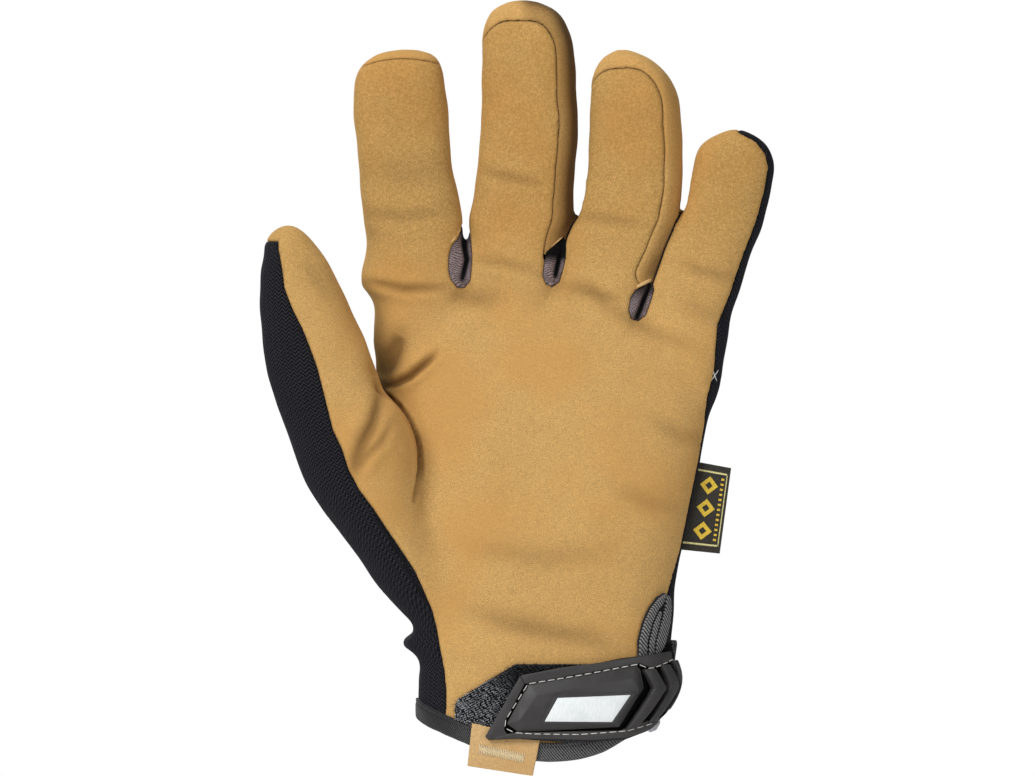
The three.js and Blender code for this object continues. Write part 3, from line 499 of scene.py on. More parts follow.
def inside_outline(x, z, outline):
    """Which points lie inside a closed outline."""
    inside = np.zeros(len(x), bool)
    for (x1, z1), (x2, z2) in zip(outline, outline[1:] + outline[:1]):
        if z1 != z2:
            inside ^= ((z1 > z) != (z2 > z)) & (x < (x2 - x1) * (z - z1) / (z2 - z1) + x1)
    return inside


def inside_depth(x, z, outline):
    """Distance to a closed outline, negative outside it."""
    distance, _ = along_line(x, z, outline + outline[:1])
    return np.where(inside_outline(x, z, outline), distance, -distance)


def round_spot(x, z, middle_x, middle_z, half_x, half_z):
    """1 in the middle of a soft spot, less around it."""
    return np.exp(-((x - middle_x) / half_x) ** 2 - ((z - middle_z) / half_z) ** 2)


def seam_plane(x):
    """Depth of the palm's side seams."""
    slope = (PALM_SEAM_RIGHT - PALM_SEAM_LEFT) / (2 * PALM_HALF_SPAN)
    return (PALM_SEAM_LEFT + PALM_SEAM_RIGHT) / 2 + slope * x


# Mesh helpers
def new_object(name, co, faces):
    """A mesh object from points in millimetres."""
    mesh = bpy.data.meshes.new(name)
    mesh.from_pydata((np.asarray(co, float) * MM).tolist(), [], [list(map(int, f)) for f in faces])
    mesh.validate()
    mesh.shade_smooth()
    made = bpy.data.objects.new(name, mesh)
    bpy.context.scene.collection.objects.link(made)
    return made


def bake_modifiers(obj):
    graph = bpy.context.evaluated_depsgraph_get()
    baked = bpy.data.meshes.new_from_object(obj.evaluated_get(graph))
    old = obj.data
    obj.modifiers.clear()
    obj.data = baked
    bpy.data.meshes.remove(old)


def arrays_of(obj):
    """Points in millimetres and triangles of an object."""
    mesh = obj.data
    mesh.calc_loop_triangles()
    co = np.empty(len(mesh.vertices) * 3)
    mesh.vertices.foreach_get("co", co)
    tri = np.empty(len(mesh.loop_triangles) * 3, int)
    mesh.loop_triangles.foreach_get("vertices", tri)
    return co.reshape(-1, 3) / MM, tri.reshape(-1, 3)


def edges_of(tri):
    pairs = np.sort(np.vstack([tri[:, [0, 1]], tri[:, [1, 2]], tri[:, [2, 0]]]), axis=1)
    return np.unique(pairs, axis=0)


def normals_of(co, tri):
    a, b, c = co[tri[:, 0]], co[tri[:, 1]], co[tri[:, 2]]
    face = np.cross(b - a, c - a)
    total = np.zeros_like(co)
    for corner in range(3):
        for axis in range(3):
            total[:, axis] += np.bincount(tri[:, corner], face[:, axis], len(co))
    return total / np.maximum(np.linalg.norm(total, axis=1), 1e-9)[:, None]


def smooth_points(co, edges, passes, weight=1.0, factor=0.5):
    """Moves each point toward the middle of its neighbours."""
    count = np.bincount(edges.ravel(), minlength=len(co)).astype(float)
    weight = np.broadcast_to(np.asarray(weight, float), (len(co),))[:, None]
    for _ in range(passes):
        near = np.zeros_like(co)
        for axis in range(3):
            near[:, axis] = (np.bincount(edges[:, 0], co[edges[:, 1], axis], len(co))
                             + np.bincount(edges[:, 1], co[edges[:, 0], axis], len(co)))
        co = co + factor * weight * (near / count[:, None] - co)
    return co


def even_points(co, edges, passes):
    """Smooths without shrinking: each step in is followed by a slightly longer step out."""
    for _ in range(passes):
        co = smooth_points(co, edges, 1)
        co = smooth_points(co, edges, 1, factor=-0.52)
    return co


def clip(co, tri, field, extra):
    """The part of a mesh where the field is above zero, cut exactly along its edge."""
    field = np.where(np.abs(field) < CUT_CLEAR, np.copysign(CUT_CLEAR, field), field)
    inside = field > 0
    count = inside[tri].sum(1)
    faces = [tri[count == 3]]
    cut_pairs = []
    for wanted in (1, 2):
        rows = tri[count == wanted]
        odd = inside[rows] if wanted == 1 else ~inside[rows]
        first = odd.argmax(1)
        turned = np.stack([rows[np.arange(len(rows)), (first + k) % 3] for k in range(3)], 1)
        cut_pairs.append(turned)
    keys = np.vstack([np.sort(rows[:, pair], axis=1) for rows in cut_pairs for pair in ([0, 1], [0, 2])])
    if len(keys):
        unique, inverse = np.unique(keys, axis=0, return_inverse=True)
        inverse = inverse.ravel()
        t = field[unique[:, 0]] / (field[unique[:, 0]] - field[unique[:, 1]])
        new_co = co[unique[:, 0]] + t[:, None] * (co[unique[:, 1]] - co[unique[:, 0]])
        new_extra = extra[unique[:, 0]] + t[:, None] * (extra[unique[:, 1]] - extra[unique[:, 0]])
        base = len(co)
        co, extra = np.vstack([co, new_co]), np.vstack([extra, new_extra])
        sizes = [len(cut_pairs[0]), len(cut_pairs[0]), len(cut_pairs[1]), len(cut_pairs[1])]
        ab1, ac1, ab2, ac2 = np.split(base + inverse, np.cumsum(sizes)[:-1])
        one, two = cut_pairs
        faces.append(np.stack([one[:, 0], ab1, ac1], 1))
        faces.append(np.stack([ab2, two[:, 1], two[:, 2]], 1))
        faces.append(np.stack([ab2, two[:, 2], ac2], 1))
    tri = np.vstack(faces)
    used = np.unique(tri)
    lookup = np.full(len(co), -1)
    lookup[used] = np.arange(len(used))
    return co[used], lookup[tri], extra[used]


def border_of(tri):
    """Directed edges that only one triangle has."""
    directed = np.vstack([tri[:, [0, 1]], tri[:, [1, 2]], tri[:, [2, 0]]])
    keys = np.sort(directed, axis=1)
    _, first, count = np.unique(keys, axis=0, return_index=True, return_counts=True)
    return directed[first[count == 1]]


# The filled-out form
def ring_of(columns, z, squareness, twist):
    """Points round a limb at one height."""
    left, right, middle, half = columns
    wide, turn = (right - left) / 2, math.radians(twist)
    angle = 2 * math.pi * np.arange(RING_POINTS) / RING_POINTS
    u = wide * power(np.cos(angle), 2 / squareness)
    v = half * power(np.sin(angle), 2 / squareness)
    x = u * math.cos(turn) + v * math.sin(turn)
    y = v * math.cos(turn) - u * math.sin(turn)
    x = x * wide / x.max()
    return np.stack([(left + right) / 2 + x, middle + y, np.full(RING_POINTS, float(z))], 1)


def heights_of(rows):
    z = np.array(rows, float)[:, 0]
    steps = [np.linspace(a, b, max(2, math.ceil((b - a) / RING_STEP) + 1))[:-1] for a, b in zip(z, z[1:])]
    return np.append(np.concatenate(steps), z[-1])


def loft(rows, squareness, twist, name=None):
    """A closed limb through its rows, kept off its neighbours where a name is given."""
    heights = heights_of(rows)
    rings = [ring_of(c, z, squareness, twist) for c, z in zip(columns_at(rows, heights), heights)]
    co = np.vstack(rings)
    if name:
        _, y, z = co.T
        left, right = NEIGHBOURS[name]
        if left:
            co[:, 0] = np.maximum(co[:, 0], divider_x(left, y, z) + half_slot(left, z))
        if right:
            co[:, 0] = np.minimum(co[:, 0], divider_x(right, y, z) - half_slot(right, z))
    faces = []
    for level in range(len(rings) - 1):
        for step in range(RING_POINTS):
            a, b = level * RING_POINTS + step, level * RING_POINTS + (step + 1) % RING_POINTS
            faces.append((a, b, b + RING_POINTS, a + RING_POINTS))
    faces.append(tuple(range(RING_POINTS))[::-1])
    faces.append(tuple(range((len(rings) - 1) * RING_POINTS, len(rings) * RING_POINTS)))
    return co, faces


def web_form(name):
    """The cloth that closes the bottom of the gap between two fingers."""
    rows = [(height, -wide, wide, middle, half) for height, wide, middle, half in WEBS[name]]
    co, faces = loft(rows, WEB_SQUARENESS, 0)
    co[:, 0] += divider_x(name, co[:, 1], co[:, 2])
    return co, faces


def hand_form():
    """One closed skin round the palm, the fingers and the thumb."""
    palm_co, palm_faces = loft(PALM, PALM_SQUARENESS, 0)
    slant = smoothstep(palm_co[:, 2], *KNUCKLE_RISE) * KNUCKLE_SLANT
    palm_co[:, 2] -= slant * np.maximum(0, palm_co[:, 0] - KNUCKLE_START)
    parts = [(palm_co, palm_faces)]
    parts += [loft(limb["rows"], limb["squareness"], limb["twist"], name) for name, limb in LIMBS.items()]
    parts += [web_form(name) for name in WEBS]
    all_co, all_faces, base = [], [], 0
    for co, faces in parts:
        all_co.append(co)
        all_faces += [tuple(i + base for i in f) for f in faces]
        base += len(co)
    form = new_object("form", np.vstack(all_co), all_faces)
    remesh = form.modifiers.new("remesh", "REMESH")
    remesh.mode = "VOXEL"
    remesh.voxel_size = VOXEL * MM
    bake_modifiers(form)
    co, tri = arrays_of(form)
    bpy.data.objects.remove(form)
    return co, tri


# Where each panel lies
def finger_of(co):
    """Number of the finger that a point belongs to: 0 index, 1 middle, 2 ring, 3 little."""
    x, y, z = co.T
    number = np.zeros(len(x), int)
    for name in DIVIDERS:
        number += x > divider_x(name, y, z)
    return number


def web_of(co):
    """Number of the nearest line between two fingers."""
    x, y, z = co.T
    return np.argmin([np.abs(x - divider_x(name, y, z)) for name in DIVIDERS], axis=0)


def from_middle(limb, co):
    """How far right of the limb's middle each point lies."""
    columns = columns_at(limb["rows"], co[:, 2])
    return co[:, 0] - (columns[:, 0] + columns[:, 1]) / 2


def local_depth(limb, co):
    """Depth in the limb's own turned frame."""
    turn = math.radians(limb["twist"])
    depth = co[:, 1] - columns_at(limb["rows"], co[:, 2])[:, 2]
    return depth * math.cos(turn) + from_middle(limb, co) * math.sin(turn)


def nearness(rows, squareness, co):
    """1 on the surface of a limb, more outside."""
    columns = columns_at(rows, co[:, 2])
    u = (co[:, 0] - (columns[:, 0] + columns[:, 1]) / 2) / ((columns[:, 1] - columns[:, 0]) / 2)
    v = (co[:, 1] - columns[:, 2]) / columns[:, 3]
    return (np.abs(u) ** squareness + np.abs(v) ** squareness) ** (1 / squareness)


def panel_fields(co):
    """Signed fields, positive inside: front, wall, back, gusset."""
    x, y, z = co.T
    front = seam_plane(x) - y
    nearer_thumb = nearness(PALM, PALM_SQUARENESS, co) - nearness(THUMB, THUMB_SQUARENESS, co)
    in_thumb = smoothstep(nearer_thumb, -THUMB_JOIN, THUMB_JOIN)
    in_thumb = in_thumb * (x < columns_at(THUMB, z)[:, 1] + THUMB_REACH) * (z > THUMB_FOOT)
    thumb_front = columns_at(THUMB, z)[:, 2] + THUMB_SEAM_BACK - y
    front = front + in_thumb * (thumb_front - front)
    past_edge = np.maximum(x - read_off(THUMB_EDGE, z), z - THUMB_WRAP)
    front = np.minimum(np.minimum(front, past_edge), read_off(OUTER_EDGE, z) - x)
    behind = -front
    number = finger_of(co)
    for index, name in enumerate(WALLED_FINGERS):
        limb = LIMBS[name]
        mine = (number == index) & (in_thumb < 0.5) & (z > BLEND_LOW)
        reference = columns_at(limb["rows"], np.minimum(z, TIP_START[name]))[:, 3]
        depth = local_depth(limb, co)
        share = smoothstep(z, *BLEND[name])
        low_side = 1 - smoothstep(z, TIP_START[name], TIP_START[name] + WRAP_END)
        wrap = FRONT_WRAP * smoothstep(-from_middle(limb, co), *WRAP_SIDE) * low_side
        own_front = -(depth + reference - FRONT_EDGE - wrap)
        if name == "index":
            tip = INDEX_TIP_SEAM - INDEX_TIP_ARCH * (x - INDEX_MIDDLE) ** 2 - z
            own_front = np.minimum(-(depth + reference - FRONT_EDGE - FRONT_WRAP), tip)
        own_back = depth - (reference - BACK_EDGE)
        behind = np.where(mine, behind + share * (own_back - behind), behind)
        front = np.where(mine, front + share * (own_front - front), front)
    gusset = np.full(len(x), OUTSIDE)
    for (name, rows), leaf in zip(WEBS.items(), LEAVES):
        gusset = np.maximum(gusset, inside_depth(x, z, leaf["outline"]))
        # A thin strip of web cloth down each line, darkened by the leaves' painted shade, stands in for the
        # shadow where fingers touch
        line = CONTACT_HALF - np.abs(x - divider_x(name, y, z))
        reach = np.minimum(z - leaf["fold"][-1][1], rows[-1][0] + CONTACT_TOP - z)
        gusset = np.maximum(gusset, np.minimum(line, reach))
    gusset = np.minimum(gusset, LEAF_BACK - y)
    wall = np.minimum(np.minimum(-front, -behind), z - BLEND_LOW)
    back = np.minimum(-front, behind)
    return {
        "front": np.minimum(front, -gusset), "wall": np.minimum(wall, -gusset),
        "back": np.minimum(back, -gusset), "gusset": gusset,
    }


# The skin of the worn glove
def fold_depth(x, z, row):
    """How far a fold takes the cloth in, and how much painted shade goes into its crease."""
    depth, width, ridge, line = row
    distance, share = along_line(x, z, line)
    fade = np.sqrt(np.sin(np.pi * np.clip(share, *FOLD_ENDS)))
    valley = np.exp(-(distance / width) ** 2)
    beside = np.exp(-((distance - RIDGE_PLACE * width) / (RIDGE_WIDTH * width)) ** 2)
    return fade * (depth * valley - ridge * beside), fade * valley


def ripples(co):
    """Soft unevenness of stretched cloth, from a few long waves."""
    x, y, z = co.T
    return sum(np.sin(a * x + b * y + c * z + d) for a, b, c, d in RIPPLES) / len(RIPPLES)


def refined(co, tri, wanted):
    """Splits the triangles whose points are all wanted."""
    form = new_object("form", co, tri)
    select_only(form)
    bpy.ops.object.mode_set(mode="EDIT")
    bpy.ops.mesh.select_mode(type="FACE")
    bpy.ops.mesh.select_all(action="DESELECT")
    bpy.ops.object.mode_set(mode="OBJECT")
    form.data.polygons.foreach_set("select", wanted[tri].all(1))
    bpy.ops.object.mode_set(mode="EDIT")
    bpy.ops.mesh.subdivide(number_cuts=1)
    bpy.ops.mesh.select_mode(type="VERT")
    bpy.ops.object.mode_set(mode="OBJECT")
    co, tri = arrays_of(form)
    bpy.data.objects.remove(form)
    return co, tri


def beside_lines(co, reach):
    """Points near the lines between the fingers, from the leaves up to the top of the webs."""
    x, y, z = co.T
    near = np.zeros(len(co), bool)
    for (name, rows), leaf in zip(WEBS.items(), LEAVES):
        beside = np.abs(x - divider_x(name, y, z)) < reach
        near |= beside & (z > leaf["fold"][-1][1] - reach) & (z < rows[-1][0] + LINE_ABOVE)
    return near & (y < LEAF_BACK + LINE_BEHIND)


def beside_sharp_folds(co):
    x, y, z = co.T
    near = np.zeros(len(co), bool)
    for depth, width, _, line in FOLDS:
        if depth / width > SHARP_FOLD:
            near |= along_line(x, z, line)[0] < REFINED_REACH
    return near & (y < 0)


def worn_skin():
    """The form smoothed and given its folds, and how much painted shade lies in its creases."""
    co, tri = hand_form()
    co = even_points(co, edges_of(tri), SMOOTH_EVERYWHERE)
    co, tri = refined(co, tri, beside_sharp_folds(co))
    edges = edges_of(tri)
    x, y, z = co.T
    webs = smoothstep(z, *WEB_RISE) * (1 - smoothstep(z, *WEB_FALL)) * (x > WEB_LEFT)
    thumb_web = THUMB_WEB_SOFT * round_spot(x, z, *THUMB_WEB)
    soft = np.clip(WEB_SOFT_BEHIND * webs * (y > WEB_FRONT) + WEB_SOFT * webs + thumb_web, 0, 1)
    co = smooth_points(co, edges, SMOOTH_WEBS, soft)
    x, y, z = co.T
    thumb_root = np.exp(-((x - ROOT_X) / ROOT_HALF) ** 2)
    thumb_root = thumb_root * smoothstep(z, *ROOT_RISE) * (1 - smoothstep(z, *ROOT_FALL)) * (y < 0)
    co = smooth_points(co, edges, SMOOTH_ROOT, thumb_root)
    for reach in LINE_REACHES:
        co, tri = refined(co, tri, beside_lines(co, reach))
    edges = edges_of(tri)
    normal = normals_of(co, tri)
    x, y, z = co.T
    facing, away = smoothstep(-normal[:, 1], *FACING), smoothstep(normal[:, 1], *FACING)
    inward, shade_amount = np.zeros(len(co)), np.zeros(len(co))
    for *place, depth in HOLLOWS:
        inward += facing * depth * round_spot(x, z, *place)
    # Each fold pushes the cloth in and puts painted shade along its crease; so does the fold down each leaf
    for row in FOLDS:
        pushed, marked = fold_depth(x, z, row)
        inward += facing * pushed
        shade_amount += facing * marked * min(CREASE_MOST, row[0] / CREASE_DEPTH)
    for row in BACK_FOLDS:
        inward += away * fold_depth(x, z, row)[0]
    for leaf in LEAVES:
        pushed, marked = fold_depth(x, z, (*LEAF_CREASE, leaf["fold"]))
        inward += facing * pushed
        shade_amount += facing * marked
    calm = smoothstep(z, *CUFF_CALM)
    inward += UNEVENNESS * ripples(co) * calm
    inward *= CUFF_FOLDS + (1 - CUFF_FOLDS) * calm
    co = co - normal * inward[:, None]
    co = smooth_points(co, edges, 1, factor=0.2)
    return co, tri, np.clip(shade_amount, 0, 1)


def cloth_run(co):
    """Distance round the limb from its left side, for weaves that follow the surface."""
    x, y, z = co.T
    number = finger_of(co)
    palm = columns_at(PALM, np.minimum(z, PALM_SHOULDER))
    palm[:, 1] += smoothstep(z, *PINKY_ROOT) * (columns_at(PINKY, z)[:, 1] - palm[:, 1])
    columns = palm.copy()
    for index, name in enumerate(FINGERS):
        own = columns_at(LIMBS[name]["rows"], z)
        own[:, 0], own[:, 1] = columns_at(INDEX, z)[:, 0], palm[:, 1]
        share = (number == index) * smoothstep(z, BLEND_LOW, OWN_WEAVE)
        columns += share[:, None] * (own - palm)
    thumb = columns_at(THUMB, z)
    in_thumb = nearness(THUMB, THUMB_SQUARENESS, co) < nearness(PALM, PALM_SQUARENESS, co)
    in_thumb &= x < thumb[:, 1] + THUMB_REACH
    left, right, middle, half = np.where(in_thumb[:, None], thumb, columns).T
    centre, wide, deep = (left + right) / 2, (right - left) / 2, y - middle
    from_side = np.abs(deep) + wide - np.abs(x - centre)
    return np.where(x < centre, np.sign(deep) * from_side, 2 * (half + wide) - np.sign(deep) * from_side)


# Cutting the skin into its panels
def border_distance(co, tri, near):
    """Distance of the points picked by near from the border of the mesh."""
    border = np.unique(border_of(tri))
    tree = kdtree.KDTree(len(border))
    for number, point in enumerate(co[border]):
        tree.insert(point, number)
    tree.balance()
    distance = np.full(len(co), 1e3)
    for number in np.flatnonzero(near):
        distance[number] = tree.find(co[number])[2]
    return distance


def add_run(obj, across, along):
    """Marks how far along and across its weave each point of a cloth lies."""
    weave = obj.data.attributes.new("run", "FLOAT_VECTOR", "POINT")
    flow = np.stack([across, along, np.zeros(len(across))], 1) * MM
    weave.data.foreach_set("vector", flow.astype(np.float32).ravel())


def cut_panel(name, skin, field):
    """One sewn panel: cut from the skin, edges turned under, cloth given its thickness."""
    co, tri, shade_amount, run = skin
    above_hem = co[:, 2] - hem_height(co[:, 0], co[:, 1]) - BINDING_HEIGHT + HEM_TUCK
    extra = np.stack([shade_amount, run, co[:, 2], field], 1)
    extra = np.hstack([extra, normals_of(co, tri), above_hem[:, None]])
    co, tri, extra = clip(co, tri, np.minimum(field - SEAM_GAP, above_hem), extra)
    across = np.cross(co[tri[:, 1]] - co[tri[:, 0]], co[tri[:, 2]] - co[tri[:, 0]])
    tri = tri[np.linalg.norm(across, axis=1) > 1e-7]
    distance = border_distance(co, tri, extra[:, 3] < 2.5 * ROLL_WIDTH)
    close = np.clip(1 - distance / ROLL_WIDTH, 0, 1)
    seam_side = smoothstep(extra[:, 7], *HEM_ROLL_START)
    turned = ROLL_DEPTH * (1 - np.sqrt(1 - close**2)) * seam_side
    co = co - extra[:, 4:7] * turned[:, None]
    panel = new_object(name, co, tri)
    mark = panel.data.attributes.new("shade", "FLOAT", "POINT")
    # Painted shade: what the skin brings (creases, walls, leaves) and a band along the turned-under seam
    # edges
    shade = extra[:, 0] * CREASE_SHADE + SEAM_SHADE * close**2 * seam_side
    mark.data.foreach_set("value", np.clip(shade, 0, 1))
    add_run(panel, extra[:, 1], extra[:, 2])
    wall = panel.modifiers.new("cloth", "SOLIDIFY")
    wall.thickness = CLOTH * MM
    wall.offset = -1
    bake_modifiers(panel)
    panel.data.shade_smooth()
    return panel


# Finishes: each is a node tree on the piece's own coordinates
class Finish:
    """A material built up one node at a time."""

    def __init__(self, name, roughness, specular=0.3, sheen=0.0, sheen_tint=(1, 1, 1)):
        self.material = bpy.data.materials.new(name)
        self.material.use_nodes = True
        self.tree = self.material.node_tree
        self.shader = self.tree.nodes["Principled BSDF"]
        self.shader.inputs["Roughness"].default_value = roughness
        self.shader.inputs["Specular IOR Level"].default_value = specular
        self.shader.inputs["Sheen Weight"].default_value = sheen
        self.shader.inputs["Sheen Roughness"].default_value = 0.5
        self.shader.inputs["Sheen Tint"].default_value = (*sheen_tint, 1)
        self.place = self.add("ShaderNodeTexCoord").outputs["Object"]

    def add(self, kind, **values):
        node = self.tree.nodes.new(kind)
        for key, value in values.items():
            setattr(node, key, value)
        return node

    def join(self, source, target):
        if isinstance(source, (int, float)):
            target.default_value = source
        elif isinstance(source, tuple):
            target.default_value = (*source, 1) if len(target.default_value) == 4 else source
        else:
            self.tree.links.new(source, target)

    def attribute(self, name, output="Fac"):
        return self.add("ShaderNodeAttribute", attribute_name=name).outputs[output]

    def math(self, operation, first, second=0.0, third=0.0):
        node = self.add("ShaderNodeMath", operation=operation)
        for value, socket in zip((first, second, third), node.inputs):
            self.join(value, socket)
        return node.outputs[0]

    def noise(self, scale, detail=2.0, roughness=0.5, place=None):
        node = self.add("ShaderNodeTexNoise")
        self.join(place or self.place, node.inputs["Vector"])
        node.inputs["Scale"].default_value = scale
        node.inputs["Detail"].default_value = detail
        node.inputs["Roughness"].default_value = roughness
        return node.outputs["Fac"]

    def stretched(self, scale):
        node = self.add("ShaderNodeMapping")
        self.join(self.place, node.inputs["Vector"])
        node.inputs["Scale"].default_value = scale
        return node.outputs["Vector"]

    def span(self, value, low, high, to_low, to_high):
        node = self.add("ShaderNodeMapRange", interpolation_type="SMOOTHSTEP")
        for number, socket in zip((value, low, high, to_low, to_high), node.inputs):
            self.join(number, socket)
        return node.outputs["Result"]

    def parts(self, vector):
        """X, Y and Z of a vector."""
        node = self.add("ShaderNodeSeparateXYZ")
        self.join(vector, node.inputs[0])
        return tuple(node.outputs)

    def wave(self, value, length):
        return self.math("SINE", self.math("MULTIPLY", value, 2 * math.pi / length))

    def mix(self, share, first, second, blend="MIX"):
        node = self.add("ShaderNodeMix", data_type="RGBA", blend_type=blend)
        self.join(share, node.inputs["Factor"])
        self.join(first, node.inputs[6])
        self.join(second, node.inputs[7])
        return node.outputs[2]

    def bump(self, height, distance, strength, under=None):
        node = self.add("ShaderNodeBump")
        node.inputs["Distance"].default_value = distance
        node.inputs["Strength"].default_value = strength
        self.join(height, node.inputs["Height"])
        if under:
            self.join(under, node.inputs["Normal"])
        self.join(node.outputs["Normal"], self.shader.inputs["Normal"])
        return node.outputs["Normal"]

    def colour(self, value):
        self.join(value, self.shader.inputs["Base Color"])


def linear(red, green, blue):
    """A colour given in screen values of 0 to 255."""
    shares = [v / 255 for v in (red, green, blue)]
    return tuple(((v + 0.055) / 1.055) ** 2.4 if v > 0.04 else v / 12.92 for v in shares)


def shaded(tone, factor):
    return linear(*(min(255, v * factor) for v in tone))


def suede(name, tone, finger_shade=0.0):
    """Brushed synthetic suede: short mottled nap, with painted shade in its folds, on its turned-under edges
    and walls, and, mottled, toward the fingers.
    """
    finish = Finish(name, 0.92, 0.15, 0.16, linear(235, 205, 150))
    nap = finish.noise(3000, 3, 0.8)
    blotch = finish.noise(300, 3, 0.6)
    cloud = finish.noise(28, 2, 0.5)
    grain = finish.noise(1, 2, 0.6, finish.stretched((650, 650, 2400)))
    light, dark = shaded(tone, 1.13), shaded(tone, 0.86)
    base = finish.mix(finish.span(nap, 0.34, 0.66, 0, 1), dark, light)
    base = finish.mix(finish.span(blotch, 0.3, 0.7, 0, 0.14), base, shaded(tone, 0.87))
    base = finish.mix(finish.span(grain, 0.35, 0.75, 0, 0.22), base, light)
    warm = linear(tone[0], tone[1] * 0.93, tone[2] * 0.82)
    base = finish.mix(finish.span(cloud, 0.42, 0.68, 0, 0.5), base, warm)
    # Painted shade: mottled darkening toward the fingers, so that they look less lit than the palm
    if finger_shade:
        height = finish.parts(finish.place)[2]
        finger_shade_share = finish.span(height, 0.125, 0.18, 0, finger_shade)
        mottle = finish.span(finish.noise(1300, 2, 0.75), 0.36, 0.62, 0.4, 1.6)
        finger_shade_share = finish.math("MULTIPLY", finger_shade_share, mottle)
        base = finish.mix(finger_shade_share, base, (0.66, 0.63, 0.5), "MULTIPLY")
    # Painted shade from the skin's shade mark: creases, seam edges and finger walls
    folded = finish.math("MULTIPLY", finish.attribute("shade"), 0.95)
    base = finish.mix(folded, base, (0.11, 0.075, 0.06), "MULTIPLY")
    finish.colour(base)
    first = finish.bump(nap, 0.00022, 0.55)
    finish.bump(blotch, 0.0006, 0.35, first)
    return finish.material


def zigzag(finish, across, along, row, column):
    """Height of a fine zigzag rib, 0 to 1, from two lengths in metres."""
    phase = finish.math("DIVIDE", across, column)
    fold = finish.math("PINGPONG", phase, 0.5)
    line = finish.math("ADD", finish.math("DIVIDE", along, row), finish.math("MULTIPLY", fold, 2.2))
    return finish.math("MULTIPLY_ADD", finish.wave(line, 1), 0.5, 0.5)


def knit(name, tone, row=0.00125, column=0.0032, lift=1.9, nap=0.3, sink=0.3):
    """Stretch knit with a zigzag rib that follows the run of the cloth."""
    finish = Finish(name, 0.88, 0.12, 0.05, linear(150, 150, 170))
    across, along, _ = finish.parts(finish.attribute("run", "Vector"))
    rib = zigzag(finish, across, along, row, column)
    yarn = finish.noise(1800, 2, 0.7)
    height = finish.math("ADD", rib, finish.math("MULTIPLY", yarn, nap * 2))
    dark, light = shaded(tone, sink), shaded(tone, lift)
    base = finish.mix(finish.span(height, 0.55, 1.4, 0, 0.62), dark, light)
    patch = finish.span(finish.noise(60, 2, 0.5), 0.35, 0.7, 0, 0.15)
    base = finish.mix(patch, base, linear(*tone))
    # Painted shade from the skin's shade mark: creases, the tops and folds of the leaves, the strip where
    # fingers touch
    base = finish.mix(finish.attribute("shade"), base, linear(10, 10, 12))
    finish.colour(base)
    finish.bump(height, 0.0004, 0.9)
    return finish.material


def heather(name, tone, pitch=0.0008, ribbing=0.3, left_painted_shade=0.0):
    """Woven elastic tape: slanting ribs with lighter flecks of yarn, and painted shade toward its left end if
    wanted.
    """
    finish = Finish(name, 0.8, 0.25, 0.25, linear(200, 200, 200))
    across, along, _ = finish.parts(finish.attribute("run", "Vector"))
    slant = finish.math("ADD", across, finish.math("MULTIPLY", along, 0.8))
    wave = finish.wave(slant, pitch)
    fleck = finish.math("MULTIPLY", finish.noise(2300, 2, 0.8), 1.4)
    height = finish.math("ADD", finish.math("MULTIPLY_ADD", wave, ribbing, 0.3), fleck)
    base = finish.mix(finish.span(height, 0.6, 1.4, 0, 1), shaded(tone, 0.38), shaded(tone, 1.75))
    # Painted shade toward the tape's left end
    if left_painted_shade:
        painted_shade = finish.span(finish.parts(finish.place)[0], -0.038, -0.014, left_painted_shade, 0)
        base = finish.mix(painted_shade, base, (0.07, 0.07, 0.08), "MULTIPLY")
    finish.colour(base)
    finish.bump(height, 0.0003, 0.7)
    return finish.material


def rubber(name, tone, gloss=0.45):
    """Moulded rubber with a dull satin skin, faintly dusty on its raised faces."""
    finish = Finish(name, 0.48, gloss)
    dust = finish.noise(240, 4, 0.65)
    pores = finish.noise(2600, 2, 0.6)
    base = finish.mix(finish.span(dust, 0.4, 0.7, 0, 0.4), linear(*tone), shaded(tone, 1.28))
    finish.colour(base)
    finish.join(finish.span(dust, 0.3, 0.7, 0.42, 0.62), finish.shader.inputs["Roughness"])
    finish.bump(pores, 0.00012, 0.35)
    return finish.material


def plate_paint(name):
    """Bare white writing plate, printed on a faint weave."""
    finish = Finish(name, 0.5, 0.4)
    weave = finish.noise(1, 2, 0.5, finish.stretched((1500, 1500, 500)))
    smudge = finish.noise(160, 3, 0.6)
    base = finish.mix(finish.span(weave, 0.35, 0.65, 0, 0.5), linear(240, 244, 244), linear(224, 231, 233))
    base = finish.mix(finish.span(smudge, 0.45, 0.75, 0, 0.4), base, linear(212, 219, 221))
    finish.colour(base)
    finish.bump(weave, 0.0001, 0.4)
    return finish.material


